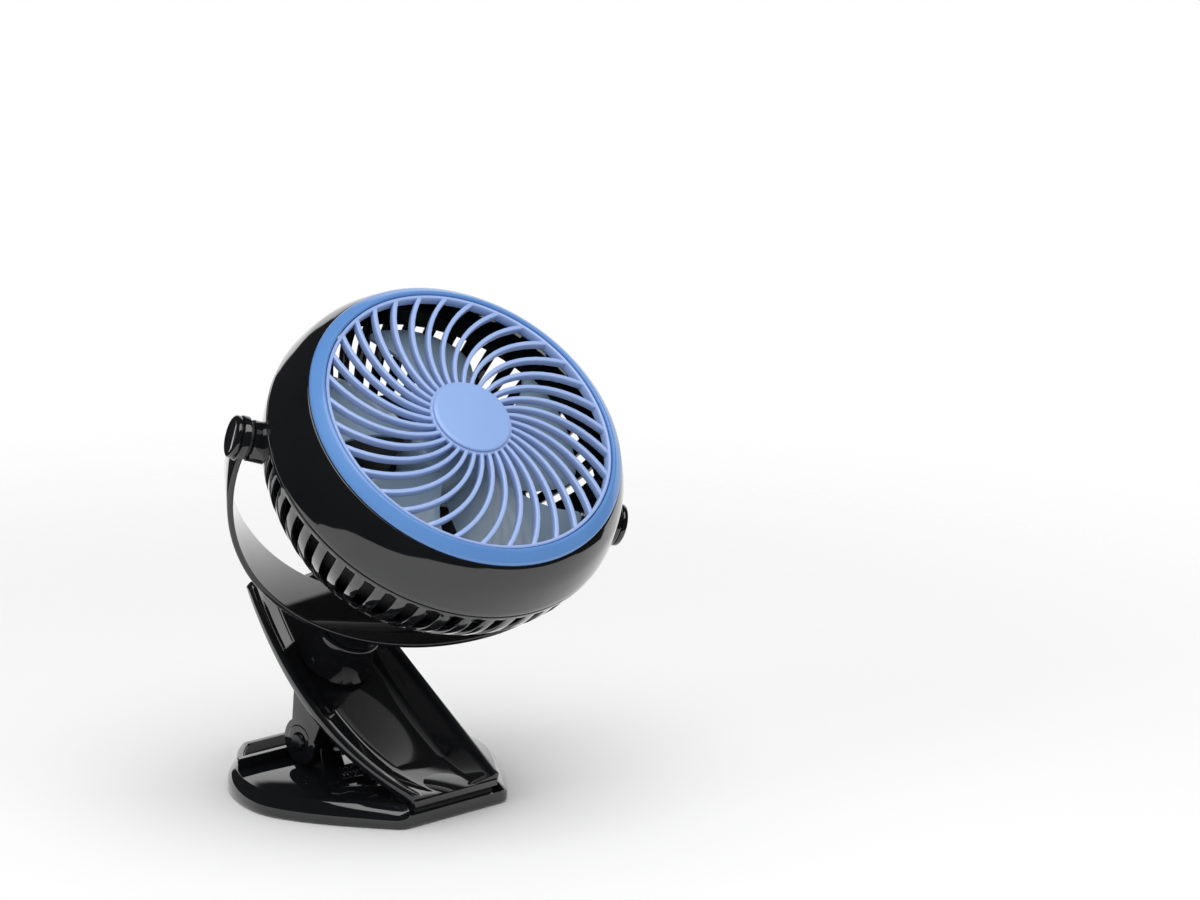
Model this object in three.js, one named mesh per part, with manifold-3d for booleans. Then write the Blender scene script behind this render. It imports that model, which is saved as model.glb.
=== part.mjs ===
// Clip-on desk fan: a sprung clip with a round foot, a swivelling yoke and a tilting fan head.
// Millimetres, +Z up. The origin is on the standing surface under the centre of the foot's arc,
// the mouth of the clip looks to -Y and the width runs along X.
import * as THREE from 'three';
import { mergeVertices } from 'three/addons/utils/BufferGeometryUtils.js';
import Module from 'manifold-3d';

const wasm = await Module();
wasm.setup();

// ---------------------------------------------------------------- driving dimensions

const GAP = 0.3;                    // clearance between pieces that seat on each other
const SMALL_SIDES = 16;             // facets round a small turned piece
const DEG = Math.PI / 180;

// foot and lower jaw
const FOOT_RADIUS = 52;
const FOOT_CHORD = 46;              // the straight front edge stands this far before the centre
const FOOT_CORNER = 3;              // rounding where a cheek meets the front edge
const CHEEK_END = 4;                // degrees behind the widest line where a cheek leaves the arc
const CHEEK_PULL = 16;              // how far a cheek keeps the arc's direction there
const FOOT_HEIGHT = 8;
const FOOT_WALL = 2.4;
const FOOT_RIM_HEIGHT = 3.4;        // upright rim under the sloping flank
const FOOT_FLANK = 3.2;             // how far the flank leans in
const FOOT_PLATE = 2;               // bottom plate
const PAD_SHEET = 0.9;              // rubber sheet under the foot
const SCREW_RING = 36;              // radius of the ring of foot screws
const REST_STEP = 4;                // height of the finger rest above the deck
const REST_FRONT = 25;
const REST_BACK = 40;
const REST_INSET = 2.6;             // border round the finger pad
const MOUTH_DEPTH = 3.4;            // how deep the jaw seat is sunk in the deck
const MOUTH_LENGTH = 12;
const MOUTH_RAMP = 9;
const JAW_PAD = 1;                  // thickness of each jaw's rubber pad

// hinge of the clip
const HINGE_Y = 14;
const HINGE_Z = 17.7;
const KNUCKLE_RADIUS = 8.5;         // round end of the arm's ears
const POST_RADIUS = 7.4;            // round top of the foot's posts
const EAR_OUTSET = 2.2;             // outer side of an ear beyond the arm's end width
const EAR_WIDTH = 3.5;
const POST_WIDTH = 9.5;
const PIN_RADIUS = 2;
const PIN_HEAD = 3.4;
const PIN_HEAD_HEIGHT = 1;
const SPRING_WIRE = 0.7;            // radius of the spring wire
const SPRING_COIL = 4.5;            // radius to the middle of the wire
const SPRING_PITCH = 2;
const SPRING_TURNS = 6;
const SPRING_LEG = 10;                 // low leg, from the pin's axis
const SPRING_HIGH_LEG = 13;

// arm, the upper jaw
const ARM_FRONT_Z = 11.8;           // rim height over the mouth
const ARM_LENGTH = 90;
const ARM_CONTROL = [45, 24.6];     // distance from the mouth and height of the curve's middle pole
const ARM_BACK_Z = 70.4;
const ARM_END_HALF = 20.2;          // half width at both ends
const ARM_BULGE = 6.5;              // how much wider each side is at mid length
const ARM_RIM = 2.2;
const ARM_EDGE = 3.4;               // height of the outer edge
const ARM_FLANK = 12.5;             // width of the sloping flank inside the rim
const ARM_TROUGH = 4.6;
const ARM_WALL = 2.4;
const TOE_HEIGHT = 4.6;             // front lip of the arm, under its floor
const STIFFENER_X = 11;
const STIFFENER_DEPTH = 3;
const STIFFENER_WALL = 1.6;

// swivel between arm and yoke
const SWIVEL_LEAN = 34.2;           // swivel axis from upright, towards the mouth, degrees
const SWIVEL_REST = -30;            // how far the yoke stands turned, degrees
const TURRET_PLACE = 0.716;         // share of the arm's curve where the turret stands
const TURRET_RISE = 10.9;           // turret top above the arm's rim
const TURRET_RADIUS = 12;
const TURRET_FOOT_RADIUS = 14;
const TURRET_LENGTH = 18.6;
const SWIVEL_SCREW = 2.6;
const SWIVEL_HEAD = 5;

// yoke
const STRAP_CLEARANCE = 3.1;        // between the head's widest ring and the strap
const STRAP_WALL = 2.2;
const STRAP_END_HALF = 7.4;         // half width of the strap at the pivots
const STRAP_MIDDLE_HALF = 12;       // half width of the strap at the swivel
const YOKE_BOSS_RADIUS = 11;
const YOKE_BOSS_HEIGHT = 4.5;
const PIVOT_DISC = 8;
const PIVOT_DISC_WALL = 2.6;
const CAP_RADIUS = 7.6;
const CAP_HEIGHT = 2.2;
const PIVOT_SCREW = 1.9;
const PIVOT_HEAD = 3.6;
const PIVOT_HEAD_HEIGHT = 1.2;
const PIVOT_WASHER = 1.1;

// fan head; heights are along the fan's axis from the tilt axis, forwards
const HEAD_LEAN = 10;               // fan axis from the swivel axis, towards the front, degrees
const HEAD_SIDES = 50;
const HEAD_WALL = 2.2;
const SEAM_HEIGHT = 13.5;           // where the front shell meets the rear cover
const FACE_HEIGHT = 34.7;           // front edge of the bezel
const FACE_STEP = 7.5;              // from the widest ring in to the bezel's outer edge
const BELLY_RADIUS = 65.5;
const SLOT_COUNT = 50;              // pitches round the rear cover
const SLOT_SKIP = 1;                // pitches left closed on each side of a pivot
const SLOT_SHARE = 0.5;             // open share of a pitch
const SLOT_TOP = 11;
const SLOT_BOTTOM = -24;
const BACK_HEIGHT = -35;
const BAY_RADIUS = 42;              // outer radius of the battery bay
const BAY_WALL = 1.8;
const BAY_TOP = -9;
const BAY_BOTTOM = -24.4;
const PIVOT_BOSS = 7.3;
const PIVOT_BOSS_DEPTH = 8.5;       // how far a pivot boss reaches in from the widest ring

// grille
const RIB_COUNT = 33;
const RIB_START = 14.6;
const RIB_SWEEP = 33;               // degrees that a rib turns back on its way out
const RIB_SWEEP_POWER = 1.12;
const RIB_TURN = 6;                 // degrees that the whole ring of ribs is turned
const RIB_WIDTH = 1.6;
const RIB_DEPTH = 3;
const RIB_STEPS = 4;
const GRILLE_CROWN = 1.2;           // how far the middle stands before the rim
const GRILLE_RISE = 2.5;            // grille rim before the bezel's outer edge
const GRILLE_RING = 1.4;
const HUB_RADIUS = 15.2;
const HUB_PLATE = 2.2;
const HUB_CAP_MARGIN = 0.8;         // hub plate showing round the cap
const HUB_CAP_HEIGHT = 1.4;
const BEZEL_WIDTH = 4.7;            // from the bezel's outer edge to its raised inner lip
const BEZEL_RISE = 3.2;             // how far that edge stands before the outer edge

// fan and drive
const BLADE_COUNT = 5;
const BLADE_TIP_SETBACK = 1.8;      // from the bezel's lip in to the blade tips
const BLADE_SPAN = 50;              // degrees that a blade covers
const BLADE_SWEEP = 16;             // degrees that its tip leads
const BLADE_WALL = 1.4;
const BLADE_HUB_HEIGHT = 12;
const BLADE_TIP_HEIGHT = 8;
const FAN_HUB_RADIUS = 15;
const FAN_HUB_BACK = 6;
const FAN_HUB_FRONT = 24;
const FAN_HUB_WALL = 1.8;
const FAN_REST_TURN = 15;           // where the blades stand, degrees
const MOTOR_RADIUS = 12;
const MOTOR_LENGTH = 14.5;
const MOTOR_CAP = 2.4;
const SHAFT_RADIUS = 1;
const PLATE_WALL = 2;               // motor plate
const CUP_HEIGHT = 7;
const PLATE_SCREW_SETBACK = 6;      // plate screws in from the bay's wall
const CELL_RADIUS = 9.1;
const CELL_LENGTH = 65;
const CELL_Y = 12.5;
const CELL_HEIGHT = -18.6;

// controls on the back
const PANEL_RADIUS = 20;
const PANEL_WALL = 1.2;
const PANEL_SINK = 1.5;
const CONTROL_Y = -10;
const BUTTON_RADIUS = 4.6;
const BUTTON_TRAVEL = 1.2;
const SOCKET_X = 11;
const SOCKET_SIZE = [8, 3.2];
const LED_X = -11;
const LED_RADIUS = 1.3;
const BOARD_SIZE = [32, 15];
const BOARD_WALL = 1.4;
const BOARD_HEIGHT = -25.5;

// ---------------------------------------------------------------- finishes

const finish = (color, roughness, metalness = 0) =>
  new THREE.MeshStandardMaterial({ color, roughness, metalness });

const blackGloss = finish(0x0a0b0d, 0.12);
const blackMatt = finish(0x17181a, 0.6);
const rubber = finish(0x1c1c1d, 0.85);
const bezelBlue = finish(0x4f8edc, 0.3);
const grilleBlue = finish(0x8fb4ee, 0.35);
const capBlue = finish(0x8fc0f0, 0.3);
const bladeWhite = finish(0xc9d4dc, 0.4);
const steel = finish(0xb4b7ba, 0.3, 1);
const nylon = finish(0x2a2b2d, 0.6);
const cellWrap = finish(0x3b7a57, 0.4);
const boardGreen = finish(0x1f5c39, 0.5);
const ledClear = finish(0xe9f2f5, 0.2);

// ---------------------------------------------------------------- making and joining solids

// Merges shared corners, drops collapsed triangles and turns the faces outwards.
function closed(geometry) {
  geometry.deleteAttribute('normal');
  geometry.deleteAttribute('uv');
  const merged = mergeVertices(geometry, 1e-4);
  const place = merged.attributes.position;
  const corner = (i) => new THREE.Vector3().fromBufferAttribute(place, i);
  const faces = [];
  let volume = 0;
  for (let i = 0; i < merged.index.count; i += 3) {
    const [a, b, c] = [0, 1, 2].map((k) => merged.index.getX(i + k));
    if (a === b || b === c || c === a) continue;
    faces.push(a, b, c);
    volume += corner(a).dot(corner(b).cross(corner(c)));
  }
  merged.setIndex(volume < 0 ? faces.reverse() : faces);
  return merged;
}

function toSolid(geometry) {
  const shape = closed(geometry.clone());
  const vertProperties = new Float32Array(shape.attributes.position.array);
  const triVerts = new Uint32Array(shape.index.array);
  return new wasm.Manifold(new wasm.Mesh({ numProp: 3, vertProperties, triVerts }));
}

function fromSolid(solid) {
  const { vertProperties, triVerts, numProp } = solid.getMesh();
  const geometry = new THREE.BufferGeometry();
  const place = new THREE.InterleavedBuffer(vertProperties, numProp);
  const corners = new Float32Array(place.count * 3);
  for (let i = 0; i < place.count; i += 1) {
    corners.set(vertProperties.subarray(i * numProp, i * numProp + 3), i * 3);
  }
  geometry.setAttribute('position', new THREE.BufferAttribute(corners, 3));
  geometry.setIndex([...triVerts]);
  return geometry;
}

function join(first, ...others) {
  return fromSolid(others.reduce((sum, other) => sum.add(toSolid(other)), toSolid(first)));
}

function cut(first, ...tools) {
  return fromSolid(tools.reduce((rest, tool) => rest.subtract(toSolid(tool)), toSolid(first)));
}

function common(first, second) {
  return fromSolid(toSolid(first).intersect(toSolid(second)));
}

// Turned about Z from [radius, height] points that start and end on the axis, or a closed loop.
function turned(profile, sides = SMALL_SIDES) {
  const points = profile.map(([radius, height]) => new THREE.Vector2(radius, height));
  const onAxis = profile[0][0] === 0 && profile[profile.length - 1][0] === 0;
  if (!onAxis) points.push(points[0].clone());
  return closed(new THREE.LatheGeometry(points, sides).rotateX(Math.PI / 2));
}

function rod(radius, bottom, top, sides = SMALL_SIDES) {
  return turned([[0, bottom], [radius, bottom], [radius, top], [0, top]], sides);
}

const alongX = (geometry) => geometry.rotateY(Math.PI / 2);

function block(size, centre) {
  return new THREE.BoxGeometry(...size).translate(...centre);
}

// Extrudes an outline of [y, z] points across the width, from x0 to x1.
function acrossWidth(outline, x0, x1) {
  const shape = new THREE.Shape(outline.map(([y, z]) => new THREE.Vector2(y, z)));
  const geometry = new THREE.ExtrudeGeometry(shape, { depth: x1 - x0, bevelEnabled: false });
  const axes = new THREE.Matrix4().makeBasis(
    new THREE.Vector3(0, 1, 0), new THREE.Vector3(0, 0, 1), new THREE.Vector3(1, 0, 0));
  return geometry.applyMatrix4(axes).translate(x0, 0, 0);
}

// Skins a row of rings with equal numbers of points and closes both ends.
// flat gives the plane coordinates of an end that isn't convex.
function loft(rings, flat = null) {
  const count = rings[0].length;
  const places = rings.flat().flatMap((point) => [point.x, point.y, point.z]);
  const faces = [];
  for (let row = 0; row + 1 < rings.length; row += 1) {
    for (let i = 0; i < count; i += 1) {
      const a = row * count + i;
      const b = row * count + (i + 1) % count;
      faces.push(a, b, b + count, a, b + count, a + count);
    }
  }
  const end = flat ? ringFaces(rings[0].map(flat)) : fanFaces(count);
  const last = (rings.length - 1) * count;
  end.forEach(([a, b, c]) => faces.push(c, b, a, last + a, last + b, last + c));
  const geometry = new THREE.BufferGeometry();
  geometry.setAttribute('position', new THREE.Float32BufferAttribute(places, 3));
  geometry.setIndex(faces);
  return closed(geometry);
}

function fanFaces(count) {
  return Array.from({ length: count - 2 }, (_, i) => [0, i + 1, i + 2]);
}

function ringFaces(outline) {
  const faces = THREE.ShapeUtils.triangulateShape([...outline], []);
  const backwards = THREE.ShapeUtils.isClockWise(outline);
  return backwards ? faces.map(([a, b, c]) => [c, b, a]) : faces;
}

// A round tube along a list of points, its rings carried along without twist.
function wire(points, radius, sides) {
  const along = points.map((point, i) => {
    const before = points[Math.max(i - 1, 0)];
    const after = points[Math.min(i + 1, points.length - 1)];
    return after.clone().sub(before).normalize();
  });
  const side = new THREE.Vector3(1, 0.3, 0.2).cross(along[0]).normalize();
  const rings = points.map((point, i) => {
    side.addScaledVector(along[i], -side.dot(along[i])).normalize();
    const other = along[i].clone().cross(side);
    return Array.from({ length: sides }, (_, k) => {
      const turn = 2 * Math.PI * k / sides;
      return point.clone()
        .addScaledVector(side, radius * Math.cos(turn))
        .addScaledVector(other, radius * Math.sin(turn));
    });
  });
  return loft(rings);
}

// A screw with a six-sided socket, its head's top at height 0 and its shank down -Z.
function screw(head, headHeight, shank, length) {
  const body = turned([
    [0, -length], [shank * 0.6, -length], [shank, -length + shank * 0.5],
    [shank, -headHeight], [head, -headHeight], [head, -headHeight * 0.4], [head * 0.8, 0], [0, 0],
  ], 12);
  return cut(body, rod(head * 0.4, -headHeight * 0.6, headHeight, 6));
}

function piece(name, material, geometry) {
  const mesh = new THREE.Mesh(geometry, material);
  mesh.name = name;
  return mesh;
}

// ---------------------------------------------------------------- foot and lower jaw

// The foot's outline: round behind, with flatter cheeks that run in to the straight front edge.
function footOutline(inset, frontInset = inset) {
  const radius = FOOT_RADIUS - inset;
  const front = -(FOOT_CHORD - frontInset);
  const half = Math.sqrt(radius * radius - front * front);
  const outwards = new THREE.Vector2(Math.cos(CHEEK_END * DEG), Math.sin(CHEEK_END * DEG));
  const widest = outwards.clone().multiplyScalar(radius);
  const cheek = new THREE.QuadraticBezierCurve(
    new THREE.Vector2(half, front),
    new THREE.Vector2(widest.x + CHEEK_PULL * outwards.y, widest.y - CHEEK_PULL * outwards.x), widest);
  const corner = new THREE.QuadraticBezierCurve(
    new THREE.Vector2(half - FOOT_CORNER, front), new THREE.Vector2(half, front),
    cheek.getPointAt(FOOT_CORNER / cheek.getLength()));
  const right = [0, 0.33, 0.67, 1].map((t) => corner.getPoint(t));
  const cheekSteps = 8;
  const cheekStart = FOOT_CORNER / cheek.getLength();
  for (let i = 1; i < cheekSteps; i += 1) {
    right.push(cheek.getPointAt(cheekStart + (1 - cheekStart) * i / cheekSteps));
  }
  const arcSteps = 24;
  const arc = Array.from({ length: arcSteps + 1 }, (_, i) => {
    const turn = (CHEEK_END + (180 - 2 * CHEEK_END) * i / arcSteps) * DEG;
    return new THREE.Vector2(radius * Math.cos(turn), radius * Math.sin(turn));
  });
  const left = [...right].reverse().map((point) => new THREE.Vector2(-point.x, point.y));
  return [...right, ...arc, ...left].map((point) => [point.x, point.y]);
}

// Stacks foot outlines: each level is [height, inset, front inset].
function footSolid(levels) {
  const rings = levels.map(([height, inset, frontInset = inset]) =>
    footOutline(inset, frontInset).map(([x, y]) => new THREE.Vector3(x, y, height)));
  return loft(rings);
}

const earOuter = ARM_END_HALF + EAR_OUTSET;
const mouthFloor = FOOT_HEIGHT - MOUTH_DEPTH;
const footBottom = GAP;
const plateBottom = PAD_SHEET + GAP;
const plateTop = plateBottom + FOOT_PLATE;
const footScrewTurns = [90, 215, 325];

function footScrewPlaces() {
  return footScrewTurns.map((turn) => [
    SCREW_RING * Math.cos(turn * DEG), SCREW_RING * Math.sin(turn * DEG)]);
}

// Round-topped post that carries the hinge pin.
function hingePost(x0, x1) {
  const flare = 3;
  const bottom = FOOT_HEIGHT - FOOT_WALL / 2;
  const outline = [[HINGE_Y - POST_RADIUS - flare, bottom], [HINGE_Y + POST_RADIUS + flare, bottom]];
  const steps = 12;
  for (let i = 0; i <= steps; i += 1) {
    const turn = Math.PI * i / steps;
    outline.push([HINGE_Y + POST_RADIUS * Math.cos(turn), HINGE_Z + POST_RADIUS * Math.sin(turn)]);
  }
  return acrossWidth(outline, x0, x1);
}

function restBlock(inset, bottom, top) {
  const rounding = 1;
  const whole = footSolid([
    [bottom, FOOT_FLANK + inset], [top - rounding, FOOT_FLANK + inset],
    [top, FOOT_FLANK + inset + rounding]]);
  const front = REST_FRONT + inset;
  const back = REST_BACK - inset;
  const slice = acrossWidth([
    [front, bottom - 1], [back, bottom - 1], [back, top - rounding], [back - rounding, top + 1],
    [front + rounding, top + 1], [front, top - rounding]], -FOOT_RADIUS, FOOT_RADIUS);
  return common(whole, slice);
}

function footShell() {
  const rim = FOOT_RIM_HEIGHT;
  const mid = (rim + FOOT_HEIGHT) / 2;
  const outside = footSolid([
    [footBottom, 0.5], [footBottom + 0.5, 0], [rim, 0], [mid, FOOT_FLANK * 0.28, 0.1],
    [FOOT_HEIGHT - 0.7, FOOT_FLANK * 0.68, 0.5], [FOOT_HEIGHT, FOOT_FLANK, 1.2]]);
  const tray = footSolid([[footBottom - 1, FOOT_WALL], [plateTop, FOOT_WALL]]);
  const hollow = footSolid([
    [plateBottom, FOOT_WALL * 2], [FOOT_HEIGHT - FOOT_WALL - 1, FOOT_WALL * 2],
    [FOOT_HEIGHT - FOOT_WALL, FOOT_WALL * 2 + 1]]);
  const mouthEnd = -FOOT_CHORD + MOUTH_LENGTH + MOUTH_RAMP;
  const seat = acrossWidth([
    [-FOOT_CHORD - 5, mouthFloor - FOOT_WALL], [mouthEnd, mouthFloor - FOOT_WALL],
    [mouthEnd, FOOT_HEIGHT - FOOT_WALL + 1],
    [-FOOT_CHORD - 5, FOOT_HEIGHT - FOOT_WALL + 1]], -ARM_END_HALF - 4, ARM_END_HALF + 4);
  const bosses = footScrewPlaces().map(([x, y]) => rod(3.4, plateTop, FOOT_HEIGHT - 1).translate(x, y, 0));
  const bores = footScrewPlaces().map(([x, y]) => rod(1.6, 0, FOOT_HEIGHT - 1.6).translate(x, y, 0));
  const posts = [1, -1].map((side) => {
    const inner = side * (earOuter - EAR_WIDTH - GAP - POST_WIDTH);
    const outer = side * (earOuter - EAR_WIDTH - GAP);
    return hingePost(Math.min(inner, outer), Math.max(inner, outer));
  });
  const mouth = acrossWidth([
    [-FOOT_CHORD - 5, mouthFloor], [-FOOT_CHORD + MOUTH_LENGTH, mouthFloor],
    [-FOOT_CHORD + MOUTH_LENGTH + MOUTH_RAMP, FOOT_HEIGHT + 0.2],
    [-FOOT_CHORD + MOUTH_LENGTH + MOUTH_RAMP, FOOT_HEIGHT + 5],
    [-FOOT_CHORD - 5, FOOT_HEIGHT + 5]], -ARM_END_HALF - 1.2, ARM_END_HALF + 1.2);
  const seatFloor = common(outside, seat);
  const shell = join(cut(outside, tray, hollow), common(seatFloor, cut(outside, tray)),
    ...bosses, ...posts, restBlock(0, FOOT_HEIGHT - FOOT_WALL / 2, FOOT_HEIGHT + REST_STEP));
  const pinBore = alongX(rod(PIN_RADIUS + GAP, -earOuter, earOuter)).translate(0, HINGE_Y, HINGE_Z);
  const padPocket = restBlock(REST_INSET, FOOT_HEIGHT + REST_STEP - 0.9, FOOT_HEIGHT + REST_STEP + 3);
  return cut(shell, mouth, pinBore, padPocket, ...bores);
}

function footPlate() {
  const plate = footSolid([[plateBottom, FOOT_WALL + GAP], [plateTop - GAP, FOOT_WALL + GAP]]);
  const holes = footScrewPlaces().map(([x, y]) => rod(2.4, 0, plateTop + 1).translate(x, y, 0));
  return cut(plate, ...holes);
}

function footPad() {
  const sheet = footSolid([[0, FOOT_WALL + 1], [PAD_SHEET, FOOT_WALL + 1]]);
  const holes = footScrewPlaces().map(([x, y]) => rod(4, -1, PAD_SHEET + 1).translate(x, y, 0));
  return cut(sheet, ...holes);
}

function footScrews() {
  const screws = footScrewPlaces().map(([x, y]) =>
    screw(2.1, 1.2, 1.2, 4.4).rotateX(Math.PI).translate(x, y, plateBottom + 0.3));
  return screws;
}

function ribbedPad(width, length, x, y, bottom) {
  const base = block([width, length, JAW_PAD * 0.6], [x, y, bottom + JAW_PAD * 0.3]);
  const count = 5;
  const ribs = Array.from({ length: count }, (_, i) => {
    const place = y + (i - (count - 1) / 2) * length / count;
    return block([width, length / count * 0.6, JAW_PAD], [x, place, bottom + JAW_PAD / 2]);
  });
  return join(base, ...ribs);
}

// A torsion spring: an even helix round the hinge pin. The low leg lies on the deck behind the
// pin, the high leg stands up against the arm's cross rib.
function clipSpring() {
  const length = (SPRING_TURNS + 0.75) * SPRING_PITCH;
  const steps = (SPRING_TURNS + 0.75) * 8;
  const coil = Array.from({ length: steps + 1 }, (_, i) => {
    const turn = -Math.PI / 2 - 2 * Math.PI * i / 8;
    return new THREE.Vector3(-length / 2 + SPRING_PITCH * i / 8,
      HINGE_Y + SPRING_COIL * Math.cos(turn), HINGE_Z + SPRING_COIL * Math.sin(turn));
  });
  const deck = FOOT_HEIGHT + SPRING_WIRE + GAP;
  const lowLeg = [1, 0.5].map((share) => new THREE.Vector3(-length / 2,
    HINGE_Y + SPRING_LEG * share, deck + (HINGE_Z - SPRING_COIL - deck) * (1 - share)));
  const highLeg = [0.5, 1].map((share) => new THREE.Vector3(length / 2,
    HINGE_Y + SPRING_COIL, HINGE_Z + SPRING_HIGH_LEG * share));
  return wire([...lowLeg, ...coil, ...highLeg], SPRING_WIRE, 5);
}

// ---------------------------------------------------------------- arm

const armCurve = new THREE.QuadraticBezierCurve(
  new THREE.Vector2(-FOOT_CHORD, ARM_FRONT_Z),
  new THREE.Vector2(-FOOT_CHORD + ARM_CONTROL[0], ARM_CONTROL[1]),
  new THREE.Vector2(-FOOT_CHORD + ARM_LENGTH, ARM_BACK_Z));

function armNormal(t) {
  const along = armCurve.getTangent(t);
  return new THREE.Vector2(-along.y, along.x);
}

// Point on the arm's long curve, moved square to it by offset.
function armPoint(t, offset) {
  return armCurve.getPoint(t).addScaledVector(armNormal(t), offset);
}

const armHalf = (t) => ARM_END_HALF + ARM_BULGE * 4 * t * (1 - t);
const troughShare = (t) => Math.min(1, 0.45 + t * 2.75);

function armUnderside(y) {
  const t = (y + FOOT_CHORD) / ARM_LENGTH;
  return armPoint(t, -ARM_TROUGH - ARM_WALL).y;
}

// Half of the arm's channel section: [distance from the middle, offset from the rim curve].
function armSection(t) {
  const half = armHalf(t);
  const deep = ARM_TROUGH * troughShare(t);
  const crease = half - ARM_FLANK;
  return [
    [half - 1.2, -ARM_EDGE - 0.5], [half, -ARM_EDGE], [half, -0.6], [half - 0.6, 0],
    [half - ARM_RIM, 0], [half - ARM_RIM - 0.8, -0.8], [crease, -deep], [0, -deep - 0.3],
  ];
}

function armRing(t) {
  const top = armSection(t);
  const half = armHalf(t);
  const deep = ARM_TROUGH * troughShare(t) + ARM_WALL;
  const bottom = [[0, -deep - 0.3], [half - ARM_FLANK - 1, -deep]];
  const right = [...bottom.slice(1), ...top.slice(0, -1)];
  const left = right.map(([x, offset]) => [-x, offset]).reverse();
  const outline = [bottom[0], ...right, top[top.length - 1], ...left];
  return outline.map(([x, offset]) => {
    const point = armPoint(t, offset);
    return new THREE.Vector3(x, point.x, point.y);
  });
}

// A strip under the arm between two offsets from its long curve, as [y, z] points.
function armStrip(from, to, upper, lower, steps = 6) {
  const share = (i) => from + (to - from) * i / steps;
  const points = (offset) => Array.from({ length: steps + 1 }, (_, i) => armPoint(share(i), offset));
  return [...points(upper), ...points(lower).reverse()].map((point) => [point.x, point.y]);
}

// A [y, z] point inside the arm's floor.
function armInside(t) {
  const point = armPoint(t, -ARM_TROUGH - 1);
  return [point.x, point.y];
}

// Ear that hangs from the arm's edge and ends round on the hinge pin.
function armEar(x0, x1) {
  const top = [0.5, 0.56, 0.62, 0.68].map((t) => armPoint(t, -ARM_WALL));
  const steps = 14;
  const round = Array.from({ length: steps + 1 }, (_, i) => {
    const turn = (60 - 250 * i / steps) * DEG;
    return [HINGE_Y + KNUCKLE_RADIUS * Math.cos(turn), HINGE_Z + KNUCKLE_RADIUS * Math.sin(turn)];
  });
  return acrossWidth([...top.map((point) => [point.x, point.y]), ...round], x0, x1);
}

const turretFoot = armCurve.getPoint(TURRET_PLACE);
const turretTop = new THREE.Vector3(0,
  turretFoot.x - TURRET_RISE * Math.sin(SWIVEL_LEAN * DEG),
  turretFoot.y + TURRET_RISE * Math.cos(SWIVEL_LEAN * DEG));

function swivelFrame(geometry) {
  return geometry.rotateX(SWIVEL_LEAN * DEG).translate(...turretTop);
}

function armShell() {
  const stations = 14;
  const channel = loft(Array.from({ length: stations + 1 }, (_, i) => armRing(i / stations)),
    (point) => new THREE.Vector2(point.x, point.z));
  const toe = acrossWidth([
    [-FOOT_CHORD, ARM_FRONT_Z - TOE_HEIGHT], [-FOOT_CHORD + MOUTH_LENGTH, ARM_FRONT_Z - TOE_HEIGHT],
    [-FOOT_CHORD + MOUTH_LENGTH + 6, armUnderside(-FOOT_CHORD + MOUTH_LENGTH + 6) + 1],
    [-FOOT_CHORD, ARM_FRONT_Z - 2.6]], -ARM_END_HALF + 0.8, ARM_END_HALF - 0.8);
  const ears = [[-earOuter, -earOuter + EAR_WIDTH], [earOuter - EAR_WIDTH, earOuter]]
    .map(([x0, x1]) => armEar(x0, x1));
  const stiffeners = [-STIFFENER_X, STIFFENER_X].map((x) => acrossWidth(
    armStrip(0.2, 0.62, -ARM_TROUGH - 1, -ARM_TROUGH - ARM_WALL - STIFFENER_DEPTH),
    x - STIFFENER_WALL / 2, x + STIFFENER_WALL / 2));
  // The cross rib takes the spring's high leg, and two webs carry it under the floor.
  const ribBack = HINGE_Y + SPRING_COIL - SPRING_WIRE - GAP;
  const ribBottom = HINGE_Z + SPRING_HIGH_LEG - 4.5;
  const crossRib = block([2 * STIFFENER_X, 2, 7], [0, ribBack - 1, ribBottom + 3.5]);
  const webs = [-STIFFENER_X, STIFFENER_X].map((x) => acrossWidth([
    [ribBack - 3, ribBottom], [ribBack, ribBottom], armInside(0.72), armInside(0.58)],
    x - STIFFENER_WALL / 2, x + STIFFENER_WALL / 2));
  const turret = swivelFrame(turned([
    [0, -TURRET_LENGTH], [TURRET_RADIUS - 3, -TURRET_LENGTH],
    [TURRET_RADIUS - 2, -TURRET_LENGTH + 1], [TURRET_FOOT_RADIUS, -TURRET_LENGTH + 5],
    [TURRET_RADIUS + 0.5, -TURRET_LENGTH + 9], [TURRET_RADIUS, -1], [TURRET_RADIUS - 1, 0], [0, 0]], 24));
  const screwBore = swivelFrame(rod(SWIVEL_SCREW + GAP, -TURRET_LENGTH - 2, 2));
  const pinBore = alongX(rod(PIN_RADIUS + GAP, -earOuter - 1, earOuter + 1))
    .translate(0, HINGE_Y, HINGE_Z);
  const beyondMouth = block([3 * ARM_END_HALF, ARM_END_HALF, 3 * ARM_END_HALF],
    [0, -FOOT_CHORD - ARM_END_HALF / 2, ARM_FRONT_Z]);
  return cut(join(channel, toe, ...ears, ...stiffeners, crossRib, ...webs, turret),
    screwBore, pinBore, beyondMouth);
}

// ---------------------------------------------------------------- yoke
// Local frame: Z is the swivel axis, X the tilt axis, the turret's top is at height 0.

const yokeBottom = GAP;
const strapInner = BELLY_RADIUS + STRAP_CLEARANCE;
const strapOuter = strapInner + STRAP_WALL;
const pivotHeight = yokeBottom + YOKE_BOSS_HEIGHT + strapOuter;
const discOuter = strapInner + PIVOT_DISC_WALL;

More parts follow.
